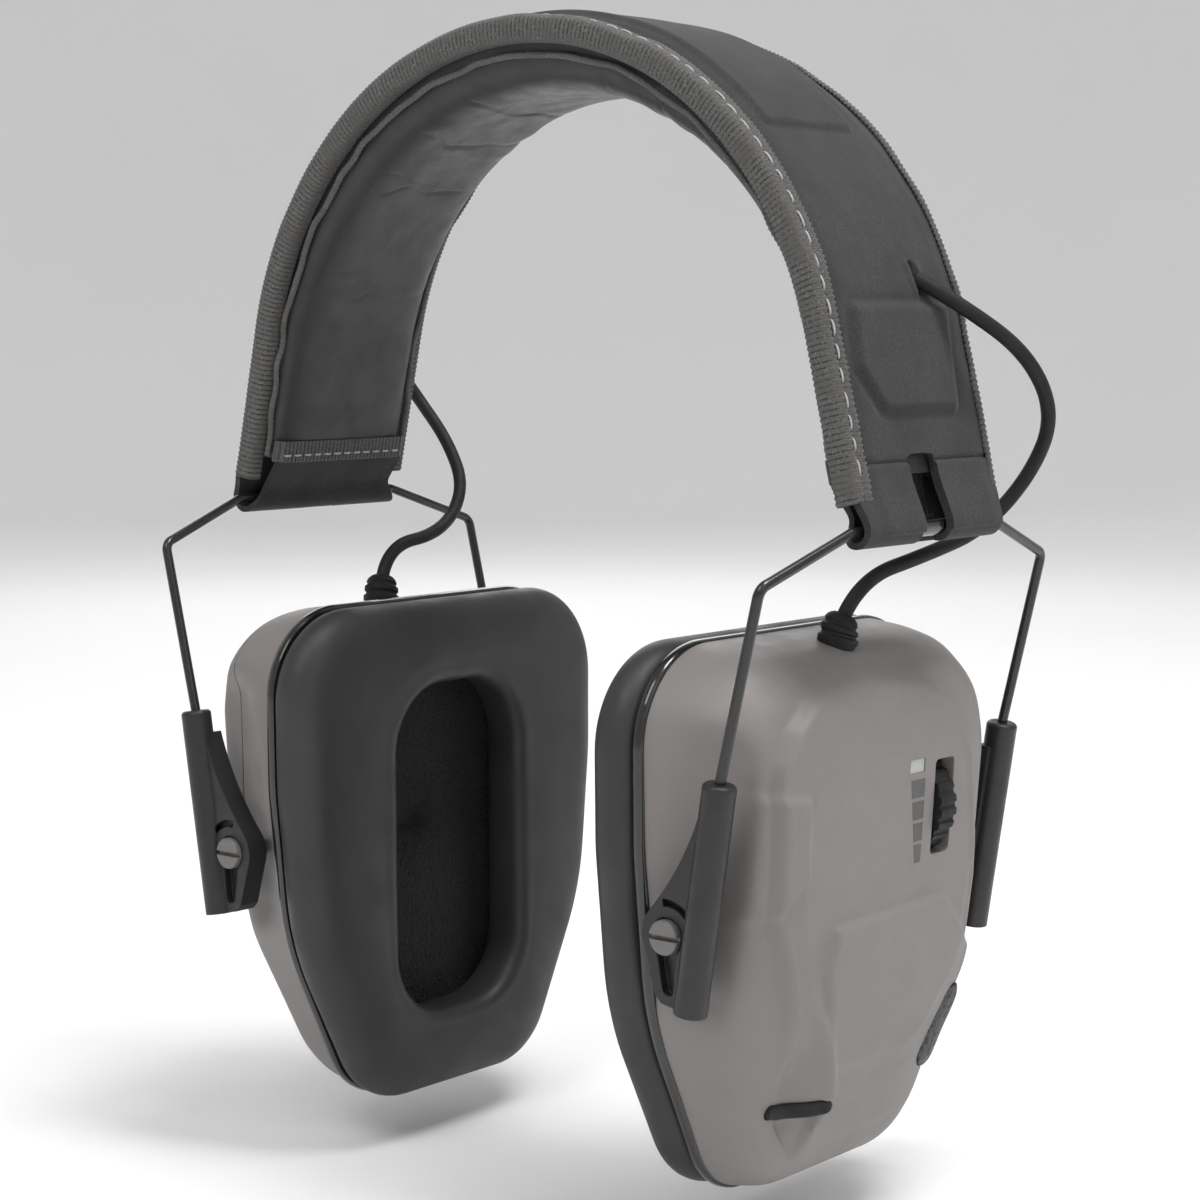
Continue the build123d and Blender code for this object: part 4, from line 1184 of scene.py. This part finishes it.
def inlay_part(surface, corners, lift, sink, count=9):
    """A thin block that follows the shell's surface between four corners."""
    low_left, low_right, high_right, high_left = (np.array(corner, float) for corner in corners)
    rows = []
    for u in np.linspace(0, 1, count):
        low, high = low_left + u * (low_right - low_left), high_left + u * (high_right - high_left)
        line = np.array([on_surface(surface, *(low + v * (high - low))) for v in np.linspace(0, 1, count)])
        rows.append(np.vstack([line + (lift, 0, 0), line[::-1] - (sink, 0, 0)]))
    return np.array(rows).reshape(-1, 3), grid_faces(count, 2 * count)


def make_marks(surface):
    """Volume marks, the indicator window and the jack cover, following the sculpted surface."""
    marks = []
    for step in range(4):
        top, wide = 23.6 - 4.3 * step, 4.8 - 0.75 * step
        corners = ((8.9 - wide, top - 3.6), (8.3, top - 3.6), (8.3, top), (8.3 - wide, top))
        marks.append(inlay_part(surface, corners, 0.05, 0.35))
    finish_part(joined("printed_volume_marks", marks, PRINT), "right_cup", "volume_marks")
    (y0, up0), (y1, up1) = WINDOW_LOW, WINDOW_HIGH
    corners = ((y0, up0), (y1, up0), (y1, up1), (y0, up1))
    window = joined("indicator_window", [inlay_part(surface, corners, -0.25, 1.4)], WINDOW)
    finish_part(window, "right_cup", "led_window")
    rows = []
    for share in np.linspace(0, 1, 40):
        y = -26.4 + 14.7 * share
        half = 1.45 * (1 - abs(2 * share - 1) ** 9) ** 0.5 + 0.02
        middle = -37.5 - 0.085 * (y + 19) + 0.5 * share**4
        base = on_surface(surface, y, -37.0 - 0.085 * (y + 19))
        turns = np.radians(np.arange(0, 360, 15))
        across = np.sign(np.cos(turns)) * np.abs(np.cos(turns)) ** 0.45 * half
        out = np.sign(np.sin(turns)) * np.abs(np.sin(turns)) ** 0.45 * 0.95
        rows.append(np.column_stack([base[0] + out, np.full(len(turns), y), PIVOT_Z + middle + across]))
    finish_part(grid("jack_flap", np.array(rows), RUBBER), "jack_cover", "jack_cover")


def make_mic_mesh_cover(side, surface):
    """The perforated cover over a microphone, set flush in its opening."""
    axis, long_way, short_way = slanted_frame(MIC_AXIS, MIC_LONG)
    rows = []
    for u in np.linspace(-MIC_COVER_LONG, MIC_COVER_LONG, MIC_COVER_ROWS):
        half = MIC_COVER_WIDE * (1 - (abs(u) / 9.2) ** 7) ** 0.5
        line = []
        for v in np.linspace(-half, half, MIC_COVER_COLUMNS):
            start = Vector(MIC_CENTRE) + axis * 12 + long_way * u + short_way * v
            start = Vector((FACE_X + start.x, start.y, PIVOT_Z + start.z)) * MM
            hit = surface.ray_cast(start, -axis)[0]
            swell = 1.5 * (1 - (abs(v) / 5.0) ** 2.5) * (1 - (abs(u) / 9.5) ** 6) - 0.1
            line.append(np.array(hit) / MM + swell * np.array(axis))
        line = np.array(line)
        rows.append(np.vstack([line, line[::-1] - 1.2 * np.array(axis)]))
    piece = grid(f"{side}_mic_mesh", np.array(rows) * (SIDES[side], 1, 1), MIC_MESH)
    finish_part(piece, f"{side}_cup", f"{side}_mic_cover")


BOOT_BEND = 6.5
# The strain relief's height and radius, rib by rib.
BOOT_PROFILE = (
    (0, 3.5), (2.2, 3.55), (3.0, 4.0), (3.9, 4.0), (4.3, 3.45), (4.7, 3.45), (5.0, 3.8), (5.8, 3.75), (6.2, 3.2),
    (6.6, 3.2), (6.9, 3.4), (7.6, 3.1), (8.2, 2.5), (8.5, 1.9), (8.5, 1.2),
)


def make_boot(side):
    """The ribbed strain relief where a cord enters the top of a cup."""
    sign = SIDES[side]
    foot, top = np.array([25.3, 0.0, 46.5]), np.array(GLAND_TOP)
    lean = np.array(GLAND_LEAN)
    rows = []
    turns = np.linspace(0, 2 * pi, 41)[:-1]
    for up, radius in BOOT_PROFILE:
        share = min(up / BOOT_BEND, 1.0)
        middle = foot + (top - foot) * share + lean * max(up - BOOT_BEND, 0)
        axis = (1 - share) * np.array([0, 0, 1.0]) + share * lean
        axis /= np.linalg.norm(axis)
        first = np.cross(axis, (0, 1, 0))
        first /= np.linalg.norm(first)
        second = np.cross(axis, first)
        loop = middle + radius * (np.outer(np.cos(turns), first) + np.outer(np.sin(turns), second))
        rows.append(rows_to_world(sign, loop))
    finish_part(grid(f"{side}_cord_boot", rows, RUBBER), f"{side}_cup", f"{side}_gland")


def make_ring(side):
    """The glossy ring between cushion and shell: a closed profile of (depth, inset, top, bottom)."""
    profile = [
        (14.15, 3.4, 1.6, 1.6), (14.15, 2.2, 0.4, 0.4), (13.8, 1.75, 0.0, 0.0), (12.6, 1.6, -0.1, -0.1),
        (11.9, 1.9, 0.15, 0.15), (11.75, 2.6, 0.9, 0.9), (11.75, 12.0, 12.0, 12.0), (12.2, 13.6, 13.6, 13.6),
        (14.0, 13.6, 13.6, 13.6),
    ]
    rows = np.array([at_depth(depth, outline_loop(*insets)) for depth, *insets in profile])
    piece = grid(f"{side}_seal_ring", rows_to_world(SIDES[side], rows), GLOSS_BLACK, loop=True)
    finish_part(piece, f"{side}_cup", f"{side}_cushion_ring", 50)


def opening_loop(grow=0.0):
    """The cushion's ear opening as (y, height) points at even angles."""
    half_y, half_up, radius = 18.7 + grow, 36.05 + grow, 14.5 + grow
    middle = np.array([0.0, -2.75])
    corners = [(half_y, half_up), (half_y, -half_up), (-half_y, -half_up), (-half_y, half_up)]
    points = np.array(rounded_polygon(corners, [radius] * 4, 24)) + middle
    return by_angle(points, middle)


# The cushion's skin, as depth and inset outside, depth and growth of the opening inside, and slow waves.
CUSHION_OUTSIDE = (
    (11.6, 5.0), (11.6, 3.2), (11.1, 1.7), (10.0, 0.8), (8.4, 0.25), (6.8, 0.1), (5.2, 0.35), (3.8, 1.0), (2.6, 2.0),
    (1.65, 3.3), (0.95, 4.9), (0.5, 6.8),
)
CUSHION_INSIDE = (
    (0.85, 1.7), (1.4, 0.9), (2.3, 0.3), (3.6, 0.0), (5.5, -0.1), (7.5, 0.0), (9.5, 0.2), (11.2, 0.6), (11.65, 1.4),
    (11.65, 6.0),
)
CUSHION_WAVES = ((2, 0.12, 0.4), (3, 0.10, 1.9), (5, 0.06, 0.7), (9, 0.03, 2.2))


def make_cushion(side):
    """The vinyl ear cushion: a full, soft-edged ring round the ear opening."""
    rows = [at_depth(depth, outline_loop(inset)) for depth, inset in CUSHION_OUTSIDE]
    outside, inside = outline_loop(CUSHION_OUTSIDE[-1][1]), opening_loop(2.6)
    for share in np.linspace(0, 1, 14)[1:]:
        depth = 0.5 - 0.42 * sin(pi * min(share * 1.15, 1)) ** 0.8
        rows.append(at_depth(depth, outside * (1 - share) + inside * share))
    rows = np.array(rows + [at_depth(depth, opening_loop(grow)) for depth, grow in CUSHION_INSIDE])
    turns = np.linspace(0, 2 * pi, ROUND, endpoint=False)
    soft = sum(amount * np.sin(count * turns + phase) for count, amount, phase in CUSHION_WAVES)
    rows[8:30, :, 0] += soft[None, :] * np.sin(np.linspace(0, pi, 22))[:, None]
    rows[..., 0] = np.maximum(rows[..., 0], 0.0)
    piece = grid(f"{side}_ear_cushion", rows_to_world(SIDES[side], rows), VINYL, loop=True)
    smooth = piece.modifiers.new("smooth", "SUBSURF")
    smooth.levels = smooth.render_levels = 1
    apply_modifiers(piece)
    attach(piece, f"{side}_cup", f"{side}_cushion")


def make_foam_liner(side):
    """Open-cell foam behind the ear opening, gently hollowed."""
    rows = []
    for depth, share in ((16.9, 1.0), (14.5, 1.0)) + tuple((14.4, share) for share in np.linspace(0.97, 0.01, 26)):
        loop = outline_loop(11.0) * share
        dish = 1.2 * (1 - share**2) if depth < 15 else 0
        rows.append(at_depth(depth + dish, loop))
    rows = np.array(rows)
    rough = np.random.default_rng(90).normal(0, 0.10, rows.shape[:2])
    rows[2:, :, 0] += rough[2:]
    piece = grid(f"{side}_foam", rows_to_world(SIDES[side], rows), FOAM)
    attach(piece, f"{side}_cup", f"{side}_foam_liner")


# Finishes of the CAD nodes that stay, and of those that a piece stands for.
FINISHES = (
    (WIRE, "yoke_wire"),
    (BLACK_PLASTIC, "front_arm rear_arm speaker_baffle speaker battery_tray"),
    (SCREW_METAL, "pivot_screws"),
    (GLOSS_BLACK, "hinge_clip cushion_ring"),
    (STEEL, "clip_rivets microphone baffle_screws headband_spring volume_pot battery_contacts"),
    (RUBBER, "gland mic_cover cord volume_wheel jack_cover"),
    (SHELL_PLASTIC, "shell battery_door"),
    (VINYL, "cushion"),
    (FOAM, "foam_liner"),
    (GROSGRAIN, "pad_tape rear_binding front_binding"),
    (SOFTSHELL, "headband_cover"),
    (LEATHER, "headband_pad"),
    (BOARD, "circuit_board"),
    (WINDOW, "led_window"),
    (PRINT, "volume_marks"),
    (WRAP, "batteries"),
)


def material_cad_nodes():
    """Procedural finishes for the CAD nodes."""
    finishes = {kind: finish for finish, kinds in FINISHES for kind in kinds.split()}
    for name, node in frame["nodes"].items():
        node.data.materials.clear()
        node.data.materials.append(finishes[name.removeprefix("left_").removeprefix("right_")].data)


make_camera()
make_stage()
material_cad_nodes()
for side in SIDES:
    make_cord(side)
make_cover()
make_binding("front_binding", 1, NARROW_FLAP)
make_binding("rear_binding", -1, WIDE_FLAP)
band_stitches("rear_binding_stitches", -STITCH_Y, 0.10)
make_pad()
make_piping(-1)
make_piping(1)
for side in SIDES:
    make_pad_tape(side)
shell_surface, plain_surface = cut_shells()
make_marks(shell_surface)
make_mic_mesh_cover("right", shell_surface)
make_mic_mesh_cover("left", plain_surface)
for side in SIDES:
    make_boot(side)
    make_ring(side)
    make_cushion(side)
    make_foam_liner(side)
